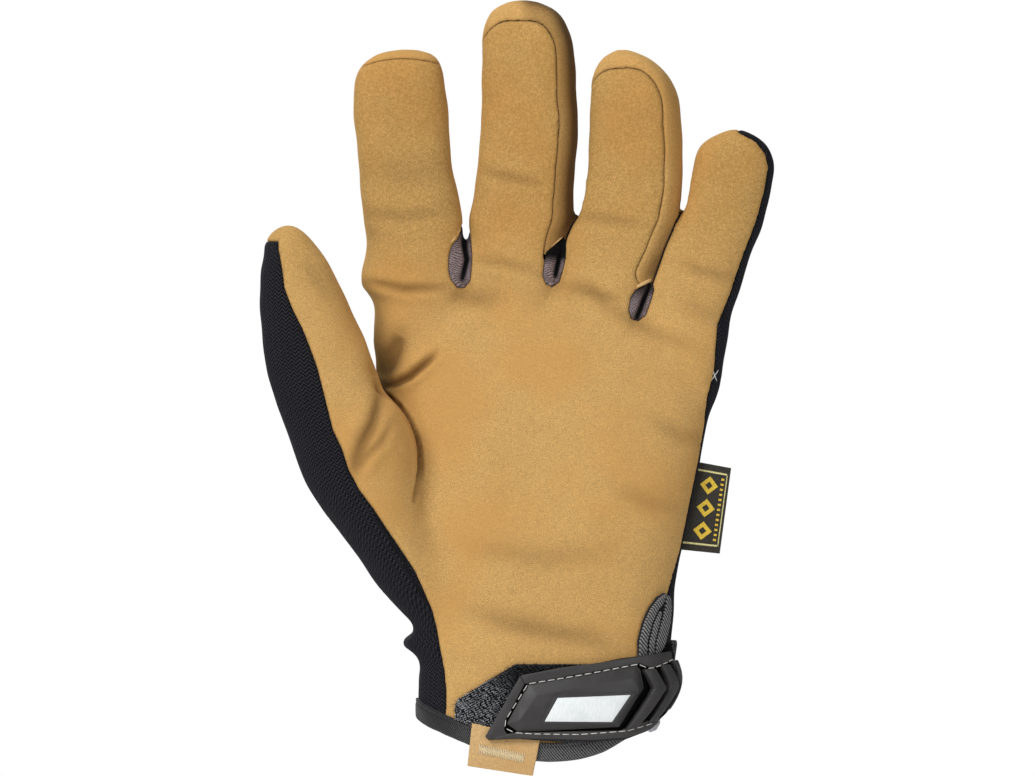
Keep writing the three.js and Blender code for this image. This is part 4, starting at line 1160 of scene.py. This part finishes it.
def loop_pile(name):
    """Brushed loop fabric: black, with paler worn rows of loops toward its lower corner."""
    finish = Finish(name, 0.9, 0.2, 0.1, linear(160, 165, 175))
    fibres = finish.noise(2200, 3, 0.7)
    x, _, z = finish.parts(finish.place)
    slanting = finish.math("ADD", finish.math("MULTIPLY", x, 0.85), finish.math("MULTIPLY", z, -0.5))
    drift = finish.math("MULTIPLY", finish.noise(330, 2, 0.6), 0.0022)
    rows = finish.wave(finish.math("ADD", slanting, drift), 0.0013)
    ties = finish.wave(finish.math("ADD", z, drift), 0.0011)
    tangle = finish.math("MULTIPLY", finish.noise(900, 2, 0.6), 2.2)
    loops = finish.math("ADD", finish.math("MULTIPLY", rows, ties), tangle)
    off_x = finish.math("ADD", x, 0.0225)
    off_z = finish.math("ADD", z, -0.0115)
    away = finish.math("ADD", finish.math("MULTIPLY", off_x, off_x), finish.math("MULTIPLY", off_z, off_z))
    worn = finish.span(finish.math("SQRT", away), 0.004, 0.018, 1, 0.12)
    lit = finish.math("MULTIPLY", finish.span(loops, 1.08, 1.42, 0, 1), worn)
    base = finish.mix(finish.span(fibres, 0.4, 0.65, 0, 1), linear(9, 9, 11), linear(50, 52, 58))
    base = finish.mix(lit, base, linear(244, 247, 252))
    finish.colour(base)
    finish.bump(loops, 0.0006, 0.8)
    return finish.material


def thread(name, tone):
    """Twisted sewing thread."""
    finish = Finish(name, 0.6, 0.3, 0.2)
    twist = finish.noise(3200, 1, 0.5)
    finish.colour(finish.mix(finish.span(twist, 0.35, 0.65, 0, 1), shaded(tone, 0.82), linear(*tone)))
    finish.bump(twist, 0.0002, 0.6)
    return finish.material


def woven_label(name, tone):
    """Damask label cloth, close horizontal weft."""
    finish = Finish(name, 0.6, 0.3, 0.15)
    weft = finish.noise(1, 2, 0.6, finish.stretched((900, 900, 3600)))
    finish.colour(finish.mix(finish.span(weft, 0.3, 0.7, 0, 1), shaded(tone, 0.7), shaded(tone, 1.25)))
    finish.bump(weft, 0.0002, 0.7)
    return finish.material


# Placing flat pieces on the wrist
# Flat pieces are made with x along the wrist, z up and their thickness toward -y, then bent round it


def wrist_point(angle, z, height):
    columns = columns_at(PALM, z)
    wide, half = (columns[:, 1] - columns[:, 0]) / 2, columns[:, 3]
    u, v = power(np.cos(angle), 2 / PALM_SQUARENESS), power(np.sin(angle), 2 / PALM_SQUARENESS)
    out_x, out_y = power(u, PALM_SQUARENESS - 1) / wide, power(v, PALM_SQUARENESS - 1) / half
    size = np.hypot(out_x, out_y)
    x = (columns[:, 0] + columns[:, 1]) / 2 + u * wide + height * out_x / size
    y = columns[:, 2] + v * half + height * out_y / size
    return np.stack([x, y, z], 1)


def wrist_lengths(z):
    """Flat x at each angle: true x in front, then length round the side."""
    outline = wrist_point(WRIST_ANGLES, np.full(len(WRIST_ANGLES), z), BEND_HEIGHT)
    steps = np.append(0, np.cumsum(np.hypot(*np.diff(outline[:, :2], axis=0).T)))
    turn = np.flatnonzero((outline[:, 0] > FLAT_REACH) & (WRIST_ANGLES > -1.5))[0]
    flat = outline[:, 0].copy()
    flat[turn:] = flat[turn] + steps[turn:] - steps[turn]
    return outline[:, 0], flat


WRIST_TABLE = [wrist_lengths(z) for z in WRIST_LEVELS]


def wrist_row(z):
    return WRIST_TABLE[int(np.argmin(np.abs(WRIST_LEVELS - z)))]


def flat_x(x, z):
    """Flat x of a point that shows at x from the front."""
    seen, flat = wrist_row(z)
    front = WRIST_ANGLES < 0
    return float(np.interp(x, np.maximum.accumulate(seen[front]), flat[front]))


def flat_x_behind(x, z):
    """Flat x of a point that lies behind the wrist at x."""
    seen, flat = wrist_row(z)
    behind = WRIST_ANGLES > 0
    return float(np.interp(-x, -seen[behind], flat[behind]))


def flat_outline(points):
    return [(flat_x(x, z) if x > FLAT_REACH else x, z) for x, z in points]


def bent(co):
    """Flat points x, y, z moved onto the wrist."""
    co = np.asarray(co, float)
    level = np.clip((co[:, 2] - WRIST_LEVELS[0]) / WRIST_STEP, 0, len(WRIST_LEVELS) - 1.001)
    flats = [np.maximum.accumulate(flat) for _, flat in WRIST_TABLE]
    angles = np.stack([np.interp(co[:, 0], flat, WRIST_ANGLES) for flat in flats])
    low = level.astype(int)
    share = level - low
    pick = np.arange(len(co))
    angle = angles[low, pick] * (1 - share) + angles[low + 1, pick] * share
    return wrist_point(angle, co[:, 2], -co[:, 1])


def bend_onto_wrist(obj):
    co = np.empty(len(obj.data.vertices) * 3)
    obj.data.vertices.foreach_get("co", co)
    obj.data.vertices.foreach_set("co", (bent(co.reshape(-1, 3) / MM) * MM).ravel())
    obj.data.update()


# Modelling hard pieces from given outlines
def select_only(obj):
    bpy.ops.object.select_all(action="DESELECT")
    obj.select_set(True)
    bpy.context.view_layer.objects.active = obj


def raised_block(name, outline, low, high, bevel, top_outline=None):
    """An outline lying flat on the skin, raised from one height to another."""
    bpy.ops.object.select_all(action="DESELECT")
    bpy.ops.mesh.primitive_circle_add(vertices=len(outline), radius=0.01, fill_type="NGON")
    obj = bpy.context.object
    obj.name = name
    for vertex, (x, z) in zip(obj.data.vertices, outline):
        vertex.co = (x * MM, -low * MM, z * MM)
    bpy.ops.object.mode_set(mode="EDIT")
    bpy.ops.mesh.select_all(action="SELECT")
    bpy.ops.mesh.extrude_region_move(TRANSFORM_OT_translate={"value": (0, -(high - low) * MM, 0)})
    bpy.ops.object.mode_set(mode="OBJECT")
    if top_outline:
        upper = [v for v in obj.data.vertices if v.select]
        for vertex, (x, z) in zip(upper, top_outline):
            vertex.co = (x * MM, -high * MM, z * MM)
    bpy.ops.object.mode_set(mode="EDIT")
    bpy.ops.mesh.select_all(action="SELECT")
    bpy.ops.mesh.normals_make_consistent(inside=False)
    if bevel:
        bpy.ops.mesh.bevel(offset=bevel * MM, segments=2, affect="EDGES", clamp_overlap=True)
    bpy.ops.object.mode_set(mode="OBJECT")
    return obj


def sliced(obj, step):
    """Cuts a flat piece across, so that it can bend."""
    select_only(obj)
    xs = [corner[0] for corner in obj.bound_box]
    bpy.ops.object.mode_set(mode="EDIT")
    for place in np.arange(min(xs) + step * MM / 2, max(xs), step * MM):
        bpy.ops.mesh.select_all(action="SELECT")
        bpy.ops.mesh.bisect(plane_co=(place, 0, 0), plane_no=(1, 0, 0))
    bpy.ops.object.mode_set(mode="OBJECT")


def joined(name, pieces):
    select_only(pieces[0])
    for piece in pieces[1:]:
        piece.select_set(True)
    bpy.ops.object.join()
    pieces[0].name = name
    pieces[0].data.name = name
    return pieces[0]


def crisp(obj, angle):
    select_only(obj)
    bpy.ops.object.shade_smooth_by_angle(angle=math.radians(angle))
    return obj


def run_from_front(obj):
    """Cloth run of a small flat piece: its own x and height."""
    co, _ = arrays_of(obj)
    add_run(obj, co[:, 0], co[:, 2])


def laid_on_wrist(obj, step=SLICE, angle=CRISP, woven=False):
    """A flat piece cut across, bent round the wrist and shaded; a woven one gets the run of its cloth."""
    sliced(obj, step)
    if woven:
        run_from_front(obj)
    bend_onto_wrist(obj)
    return crisp(obj, angle)


def settle(obj):
    """Puts the object at the origin with its place in its mesh."""
    select_only(obj)
    bpy.ops.object.transform_apply(location=True, rotation=True, scale=True)


def finish_piece(obj, material, nodes):
    obj.data.materials.clear()
    obj.data.materials.append(material)
    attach(obj, "root")
    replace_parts(obj, *nodes)


# Stitches and fuzz
def stitch_mesh(name, pairs, radius, sides=6, rise=0.35):
    """Sewn stitches, each a plump thread from one point to the next, in millimetres."""
    co, faces = [], []
    for start, end, out in pairs:
        start, end, out = Vector(start), Vector(end), Vector(out).normalized()
        along = (end - start).normalized()
        side = along.cross(out).normalized()
        base = len(co)
        for share, girth, lift in STITCH_FORM:
            middle = start.lerp(end, share) + out * (rise * lift * radius)
            for number in range(sides):
                angle = 2 * math.pi * number / sides
                co.append(middle + (side * math.cos(angle) + out * math.sin(angle)) * radius * girth)
        for ring in range(len(STITCH_FORM) - 1):
            for number in range(sides):
                a, b = base + ring * sides + number, base + ring * sides + (number + 1) % sides
                faces.append((a, b, b + sides, a + sides))
        faces.append(tuple(base + n for n in range(sides))[::-1])
        faces.append(tuple(base + (len(STITCH_FORM) - 1) * sides + n for n in range(sides)))
    return new_object(name, co, faces)


def spaced(points, pitch, length):
    """Start and end of each stitch along a line of flat points."""
    points = [np.array(p, float) for p in points]
    lengths = [np.linalg.norm(b - a) for a, b in zip(points, points[1:])]
    total = sum(lengths)
    count = max(1, round(total / pitch))
    pitch = total / count

    def at(distance):
        for a, b, size in zip(points, points[1:], lengths):
            if distance <= size:
                return a + (b - a) * (distance / size)
            distance -= size
        return points[-1]

    gap = max(0, pitch - length) / 2
    return [(at(n * pitch + gap), at((n + 1) * pitch - gap)) for n in range(count)]


def stitches_on_wrist(flat_pairs, height):
    """Start, end and outward way of stitches given by flat points."""
    pairs = []
    for a, b in flat_pairs:
        ends = bent([(a[0], -height, a[1]), (b[0], -height, b[1])])
        out = bent([(a[0], -height - 1, a[1])])[0] - ends[0]
        pairs.append((ends[0], ends[1], out))
    return pairs


def wrist_stitches(name, lines, height, pitch, length, radius):
    flat_pairs = [pair for line in lines for pair in spaced(line, pitch, length)]
    return stitch_mesh(name, stitches_on_wrist(flat_pairs, height), radius)


# The pieces on the wrist
def loop_patch():
    patch = raised_block("loop_fabric", flat_outline(PATCH_OUTLINE), PATCH_LOW, PATCH_HIGH, 0.3)
    return laid_on_wrist(patch, PATCH_SLICE)


def loop_fuzz():
    """Short curled hairs of the loop fabric where it shows."""
    rng = np.random.default_rng(11)
    picked = []
    while len(picked) < HAIRS:
        x, z = rng.uniform(-31, 20), rng.uniform(5.2, 26.6)
        behind_strap = z < 2.2 + (x + 20) * 1.72 and x > -20 and z < 24.2 + (x + 8) * 0.11
        if not behind_strap and inside_outline(np.array([x]), np.array([z]), PATCH_OUTLINE)[0]:
            picked.append((x, z))
    co, faces = [], []
    for x, z in picked:
        lean, turn = rng.uniform(0.25, 0.9), rng.uniform(0, 2 * math.pi)
        step_x, step_z = lean * math.cos(turn), lean * math.sin(turn)
        tall = rng.uniform(0.35, 0.95)
        base = len(co)
        for share in (0, 0.5, 1):
            lift = PATCH_HIGH - 0.1 + tall * math.sin(share * 2.2)
            for angle in (0, 2.1, 4.2):
                co.append((x + step_x * share + HAIR_RADIUS * math.cos(angle), -lift,
                           z + step_z * share + HAIR_RADIUS * math.sin(angle)))
        for ring in range(2):
            for side in range(3):
                a, b = base + 3 * ring + side, base + 3 * ring + (side + 1) % 3
                faces.append((a, b, b + 3, a + 3))
        faces.append((base + 6, base + 7, base + 8))
        faces.append((base + 2, base + 1, base))
    return new_object("loop_fuzz", bent(co), faces)


def rib_outline(foot, elbow, head, width):
    right = [(head[0] + width, head[1] + 0.3), (elbow[0] + width, elbow[1]), (foot[0] + width, foot[1] + 0.8)]
    return [foot, elbow, head] + right


def strap_floor():
    """The sunken base of the moulding, coloured near black as painted shadow at the bottom of its grooves."""
    floor = raised_block("strap_floor", flat_outline(STRAP_OUTLINE), STRAP_LOW, STRAP_FLOOR, 0.3)
    return laid_on_wrist(floor, angle=CRISP_RUBBER)


def strap_backing():
    """Thin hook layer under the moulding, which stands out a little along its lower edge."""
    backing = raised_block("strap_backing", flat_outline(BACKING_OUTLINE), BACKING_LOW, BACKING_HIGH, 0.2)
    return laid_on_wrist(backing, woven=True)


def backing_corner():
    """Pale end of the hook layer at the lower corner."""
    outline = flat_outline(CORNER_OUTLINE)
    corner = raised_block("backing_corner", outline, BACKING_LOW - 0.6, BACKING_LOW, 0.2)
    return laid_on_wrist(corner, CORNER_SLICE, woven=True)


def closure_strap():
    """Moulded rubber closure: a stitched flange with a raised field and ribs."""
    flanges = (TOP_FLANGE, LEFT_FLANGE, LOW_FLANGE)
    blocks = [(outline, STRAP_FLOOR - 0.5, STRAP_FLANGE, 0.4) for outline in flanges]
    blocks.append((FIELD_FOOT, STRAP_FLOOR - 0.4, STRAP_FLANGE - 0.3, 0))
    blocks.append((FIELD_FOOT, STRAP_FLANGE - 0.35, FIELD_HIGH, 0.25, flat_outline(FIELD_TOP)))
    blocks += [(rib_outline(*row), STRAP_FLOOR - 0.4, RIB_HIGH, 0.5) for row in RIBS]
    pieces = [raised_block("moulded_strap", flat_outline(outline), *rest) for outline, *rest in blocks]
    return laid_on_wrist(joined("moulded_strap", pieces), angle=CRISP_RUBBER)


def strap_band():
    """Black elastic that carries the closure round the side of the wrist."""
    behind = flat_x_behind(BAND_BEHIND, BAND_MIDDLE)
    start = flat_x(BAND_START, BAND_MIDDLE)
    outline = [(start, BAND_BOTTOM), (start, BAND_TOP - 6), (start + 24, BAND_TOP), (behind - 2, BAND_TOP),
               (behind, BAND_TOP - 2), (behind, BAND_BOTTOM + 2), (behind - 2, BAND_BOTTOM)]
    band = raised_block("strap_band", outline, BAND_LOW, BAND_HIGH, 0.4)
    return laid_on_wrist(band, angle=CRISP_RUBBER, woven=True)


def strap_threads():
    front = [flat_outline(line) for line in (STITCH_TOP, STITCH_LEFT, STITCH_LOW)]
    sewn = wrist_stitches("strap_thread", front, STRAP_FLANGE + 0.02, 3.05, 2.35, 0.155)
    behind = flat_x_behind(BAND_BEHIND, BAND_MIDDLE) - 2.5
    back = [[(x, BAND_BOTTOM + 2), (x, BAND_TOP - 2)] for x in (behind, behind - 4)]
    more = wrist_stitches("band_thread", back, BAND_HIGH + 0.05, 3.0, 2.3, 0.18)
    return joined("strap_thread", [sewn, more])


def strap_plate():
    return laid_on_wrist(raised_block("white_plate", PLATE_OUTLINE, PLATE_LOW, PLATE_HIGH - 0.05, 0.15))


def plate_rim():
    """Dark moulded lip that frames the plate."""
    pieces = []
    for number in range(4):
        after = (number + 1) % 4
        outline = [PLATE_RIM[number], PLATE_RIM[after], PLATE_OUTLINE[after], PLATE_OUTLINE[number]]
        pieces.append(raised_block("plate_rim", outline, FIELD_HIGH - 0.3, PLATE_HIGH, 0.08))
    return laid_on_wrist(joined("plate_rim", pieces))


def cuff_binding():
    """Elastic tape folded over the hem, with an edge stitch groove."""
    angles = 2 * math.pi * np.arange(HEM_POINTS) / HEM_POINTS
    rings = []
    for out, up in HEM_PROFILE:
        z = np.full(HEM_POINTS, 4.0)
        for _ in range(8):
            outline = wrist_point(angles, z, 0.0)
            z = hem_height(outline[:, 0], outline[:, 1]) + up
        rings.append(wrist_point(angles, z, out))
    faces = []
    size = len(HEM_PROFILE)
    for ring in range(size):
        below, above = ring * HEM_POINTS, (ring + 1) % size * HEM_POINTS
        for step in range(HEM_POINTS):
            after = (step + 1) % HEM_POINTS
            faces.append((below + step, below + after, above + after, above + step))
    tape = new_object("hem_tape", np.vstack(rings), faces)
    select_only(tape)
    bpy.ops.object.mode_set(mode="EDIT")
    bpy.ops.mesh.select_all(action="SELECT")
    bpy.ops.mesh.normals_make_consistent(inside=False)
    bpy.ops.object.mode_set(mode="OBJECT")
    steps = np.append(0, np.cumsum(np.linalg.norm(np.diff(rings[HEM_RUN_ROW], axis=0), axis=1)))
    add_run(tape, np.tile(steps, size), np.repeat([up + out for out, up in HEM_PROFILE], HEM_POINTS))
    return tape


def pull_tab():
    return laid_on_wrist(raised_block("suede_tab", TAB_OUTLINE, TAB_LOW, TAB_HIGH, 0.3))


def tab_threads():
    """Pale zigzag bar tack across the tab."""
    start, across = np.array(BAR_START), np.array(BAR_END) - np.array(BAR_START)
    down = np.array(BAR_DOWN) * BAR_TALL
    rows = []
    for number in range(BAR_COUNT):
        a = start + across * number / BAR_COUNT
        b = start + across * (number + 0.5) / BAR_COUNT + down
        c = start + across * (number + 1) / BAR_COUNT
        rows += [(a, b), (b, c)]
    return stitch_mesh("tab_thread", stitches_on_wrist(rows, TAB_HIGH + 0.05), 0.19, sides=5, rise=0.3)


def slit_binding():
    """Ribbed webbing sewn round the top of the wrist slit."""
    pieces = []
    for left, right in WEBBING_RIBS:
        outline = flat_outline(left + right[::-1])
        pieces.append(raised_block("slit_webbing", outline, WEBBING_CORE - 0.4, WEBBING_HIGH, 0.3))
    return laid_on_wrist(joined("slit_webbing", pieces), FINE_SLICE, woven=True)


def slit_core():
    """Dark ground of the webbing, seen in its two channels."""
    core = raised_block("slit_core", flat_outline(SLIT_OUTLINE), WEBBING_LOW, WEBBING_CORE, 0.3)
    return laid_on_wrist(core, FINE_SLICE, woven=True)


# The pieces on the hand
def upright_plate(name, outline, middle, thickness, bevel):
    """A thin upright piece that faces front."""
    return raised_block(name, outline, -middle - thickness / 2, -middle + thickness / 2, bevel)


def side_label():
    return crisp(upright_plate("woven_label", LABEL_OUTLINE, LABEL_MIDDLE, LABEL_THICKNESS, 0.12), CRISP)


def label_point(across, up):
    """A point of the label from its shares across and up."""
    a, b, c, d = (np.array(p, float) for p in LABEL_OUTLINE)
    top, bottom = a + (b - a) * across, d + (c - d) * across
    return tuple(bottom + (top - bottom) * up)


def on_label(name, outlines, proud, thickness):
    """Thin plates on both faces of the label, from outlines in shares across and up."""
    pieces = []
    for middle in (LABEL_MIDDLE - LABEL_THICKNESS / 2 - proud, LABEL_MIDDLE + LABEL_THICKNESS / 2 + proud):
        for outline in outlines:
            corners = [label_point(across, up) for across, up in outline]
            pieces.append(upright_plate(name, corners, middle, thickness, 0))
    return joined(name, pieces)


def label_border():
    """Woven border, open at the seam."""
    bars = [[(x0, z0), (x0, z1), (x1, z1), (x1, z0)] for x0, z0, x1, z1 in LABEL_BARS]
    return on_label("label_border", bars, 0.02, 0.16)


def diamond(up, half_wide, half_tall):
    x = DIAMOND_MIDDLE
    return [(x, up - half_tall), (x - half_wide, up), (x, up + half_tall), (x + half_wide, up)]


def label_motif():
    """Three plain diamonds and a row of ticks."""
    outlines = []
    for number in range(3):
        up = 0.24 + 0.26 * number
        outer, inner = diamond(up, *DIAMOND_OUTER), diamond(up, *DIAMOND_INNER)
        for edge in range(4):
            after = (edge + 1) % 4
            outlines.append([outer[edge], outer[after], inner[after], inner[edge]])
    left, right = TICK_REACH
    for number in range(TICKS):
        up = 0.15 + 0.7 * number / (TICKS - 1)
        low, high = up - TICK_HALF, up + TICK_HALF
        outlines.append([(left, low), (left, high), (right, high), (right, low)])
    return on_label("label_motif", outlines, 0.03, 0.18)


def leaf_edges():
    """Rolled edges of suede above the leaves."""
    graph = bpy.context.evaluated_depsgraph_get()
    pieces = []
    for radius, line in LEAF_EDGES:
        places = []
        for x, z in line:
            start = Vector((x, RAY_START, z)) * MM
            found = bpy.context.scene.ray_cast(graph, start, Vector((0, 1, 0)))
            places.append((found[1] / MM, found[2]))
        pairs = [(a, b, normal) for (a, normal), (b, _) in zip(places, places[1:])]
        pieces.append(stitch_mesh("leaf_edging", pairs, radius, sides=10, rise=0.1))
    return joined("leaf_edging", pieces)


def side_tack():
    """Small crossed tack stitches on the black side, below the little finger."""
    knit_back = bpy.data.objects["knit_back"]
    _, place, normal, _ = knit_back.closest_point_on_mesh(Vector(TACK_PLACE) * MM)
    up = Vector((0, 0, 1))
    side = up.cross(normal).normalized()
    up = normal.cross(side).normalized()
    pairs = []
    for lean in (-1, 1):
        reach = (up + side * lean * TACK_LEAN) * TACK_REACH
        middle = (place + normal * 0.0001) / MM
        pairs.append((middle - reach, middle + reach, normal))
    return stitch_mesh("side_tack", pairs, TACK_RADIUS)


# Camera, light and floor
def set_stage():
    data = bpy.data.cameras.new("camera")
    data.sensor_width = 36
    data.lens = CAMERA_LENS
    camera = bpy.data.objects.new("camera", data)
    camera.location = CAMERA_PLACE
    camera.rotation_euler = (math.pi / 2, 0, 0)
    bpy.context.scene.collection.objects.link(camera)
    bpy.context.scene.camera = camera
    bpy.context.scene.view_settings.view_transform = "Standard"

    for name, place, size, power_watts in LAMPS:
        lamp = bpy.data.lights.new(name, "AREA")
        lamp.size = size
        lamp.energy = power_watts
        holder = bpy.data.objects.new(name, lamp)
        holder.location = place
        aim = Vector(LAMP_AIM) - Vector(place)
        holder.rotation_euler = aim.to_track_quat("-Z", "Y").to_euler()
        bpy.context.scene.collection.objects.link(holder)

    world = bpy.data.worlds.new("studio")
    world.use_nodes = True
    tree = world.node_tree
    glow = tree.nodes["Background"]
    glow.inputs["Color"].default_value = (1, 1, 1, 1)
    glow.inputs["Strength"].default_value = AMBIENT
    paper = tree.nodes.new("ShaderNodeBackground")
    paper.inputs["Color"].default_value = (1, 1, 1, 1)
    paper.inputs["Strength"].default_value = 1.0
    path = tree.nodes.new("ShaderNodeLightPath")
    choose = tree.nodes.new("ShaderNodeMixShader")
    tree.links.new(path.outputs["Is Camera Ray"], choose.inputs["Fac"])
    tree.links.new(glow.outputs[0], choose.inputs[1])
    tree.links.new(paper.outputs[0], choose.inputs[2])
    tree.links.new(choose.outputs[0], tree.nodes["World Output"].inputs["Surface"])
    bpy.context.scene.world = world

    bpy.ops.object.select_all(action="DESELECT")
    bpy.ops.mesh.primitive_plane_add(size=FLOOR_SIZE, location=(0, 0, FLOOR_HEIGHT))
    floor = bpy.context.object
    floor.name = "floor"
    pale = Finish("pale_floor", 0.9)
    pale.colour(pale.mix(pale.span(pale.noise(6), 0.4, 0.6, 0, 1), (0.78, 0.78, 0.77), (0.82, 0.82, 0.81)))
    floor.data.materials.append(pale.material)


# Putting the glove together
def sewn_panels(finishes):
    co, tri, shade_amount = worn_skin()
    fields, run = panel_fields(co), cloth_run(co)
    skin = (co, tri, shade_amount, run)
    finish_piece(cut_panel("front_suede", skin, fields["front"]), finishes["suede"], ["palm_panel"])
    finish_piece(cut_panel("knit_back", skin, fields["back"]), finishes["knit"], ["back_panel"])
    number, nearest_web = finger_of(co), web_of(co)
    x, _, z = co.T
    for index, name in enumerate(WALLED_FINGERS):
        own = np.where(number == index, fields["wall"], OUTSIDE)
        # Painted shade on the right side of each wall, where it turns from the light, deeper round the side
        light, dark, low, high = WALL_PAINTED_SHADE[name]
        round_side = smoothstep(-fields["front"], *SHADE_FROM_SEAM) * (1 - smoothstep(z, low, high))
        painted_shade = light + (dark - light) * round_side
        limb = LIMBS[name]
        painted_shade = painted_shade * smoothstep(from_middle(limb, co), *SHADE_ACROSS)
        painted_shade = painted_shade * (1 - smoothstep(local_depth(limb, co), *SHADE_BEHIND))
        panel = cut_panel(f"{name}_side", (co, tri, shade_amount + painted_shade / CREASE_SHADE, run), own)
        finish_piece(panel, finishes["suede_side"], [f"{name}_wall"])
    for index, leaf in enumerate(LEAVES):
        own = np.where(nearest_web == index, fields["gusset"], OUTSIDE)
        # Painted shade on the top of each leaf, deep between the fingers, and in the fold down its middle
        low, high, dark = leaf["top_shade"]
        distance, _ = along_line(x, z, leaf["fold"])
        fold = LEAF_FOLD_SHADE * np.exp(-(distance / LEAF_FOLD_HALF) ** 2)
        painted_shade = np.maximum(dark * smoothstep(z, low, high), fold)
        panel = cut_panel(f"web_leaf_{index + 1}", (co, tri, shade_amount + painted_shade / CREASE_SHADE, run), own)
        finish_piece(panel, finishes["web_knit"], [f"finger_gusset_{index + 1}"])


def main():
    set_stage()
    finishes = {
        "suede": suede("suede", (198, 157, 96), 0.44),
        "suede_side": suede("suede_side", (202, 160, 98), 0.2),
        "tab_suede": suede("tab_suede", (202, 167, 117)),
        "pale_suede": suede("pale_suede", (214, 178, 124)),
        "knit": knit("black_knit", (23, 23, 26), lift=2.6, nap=0.5),
        "web_knit": knit("web_knit", (118, 105, 106), 0.0007, 0.0017, 1.8, 0.75, 0.38),
        "heather": heather("heather_tape", (66, 66, 67), 0.0009, 0.4, 0.9),
        "rubber": rubber("strap_rubber", (52, 50, 50)),
        # Near black: painted shadow for the bottoms of the strap's grooves
        "groove": rubber("groove_shadow_rubber", (7, 7, 7), 0.05),
        "hook": heather("hook_backing", (40, 39, 40)),
        "elastic": heather("black_elastic", (27, 27, 30), 0.0012, 0.5),
        "pale_hook": heather("pale_backing", (140, 140, 144)),
        "dark_webbing": heather("dark_webbing", (16, 16, 18)),
        "plate": plate_paint("white_plate"),
        "loop": loop_pile("loop_pile"),
        "white_thread": thread("white_thread", (232, 230, 226)),
        "pale_thread": thread("pale_thread", (240, 216, 170)),
        "webbing": heather("ribbed_webbing", (80, 80, 81), 0.00115, 0.6),
        "label": woven_label("label_cloth", (44, 40, 34)),
        "yellow": thread("yellow_thread", (232, 196, 62)),
        "cream": thread("cream_thread", (226, 216, 150)),
    }
    sewn_panels(finishes)
    pieces = [
        (cuff_binding, "heather", "cuff_binding", "heather_binding"),
        (loop_patch, "loop", "loop_patch", "loop_fabric"),
        (loop_fuzz, "loop", "loop_patch", "loop_fabric"),
        (closure_strap, "rubber", "closure_strap", "strap_rubber"),
        (strap_floor, "groove", "closure_strap", "strap_rubber"),
        (strap_band, "elastic", "closure_strap", "strap_rubber"),
        (strap_backing, "hook", "closure_strap", "strap_rubber"),
        (backing_corner, "pale_hook", "closure_strap", "strap_rubber"),
        (plate_rim, "rubber", "closure_strap", "strap_rubber"),
        (strap_threads, "white_thread", "closure_strap", "strap_rubber"),
        (strap_plate, "plate", "strap_plate", "white_plate"),
        (pull_tab, "tab_suede", "pull_tab", "suede"),
        (tab_threads, "pale_thread", "pull_tab", "suede"),
        (slit_binding, "webbing", "slit_binding", "webbing"),
        (slit_core, "dark_webbing", "slit_binding", "webbing"),
        (side_tack, "white_thread", "back_panel", "knit"),
        (leaf_edges, "pale_suede", "palm_panel", "suede"),
        (side_label, "label", "side_label", "label_fabric"),
        (label_border, "cream", "side_label", "label_fabric"),
        (label_motif, "yellow", "side_label", "label_fabric"),
    ]
    for make, finish, node, slot in pieces:
        finish_piece(make(), finishes[finish], [node])
    for obj in list(bpy.data.objects):
        if obj.get("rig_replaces"):
            settle(obj)


main()
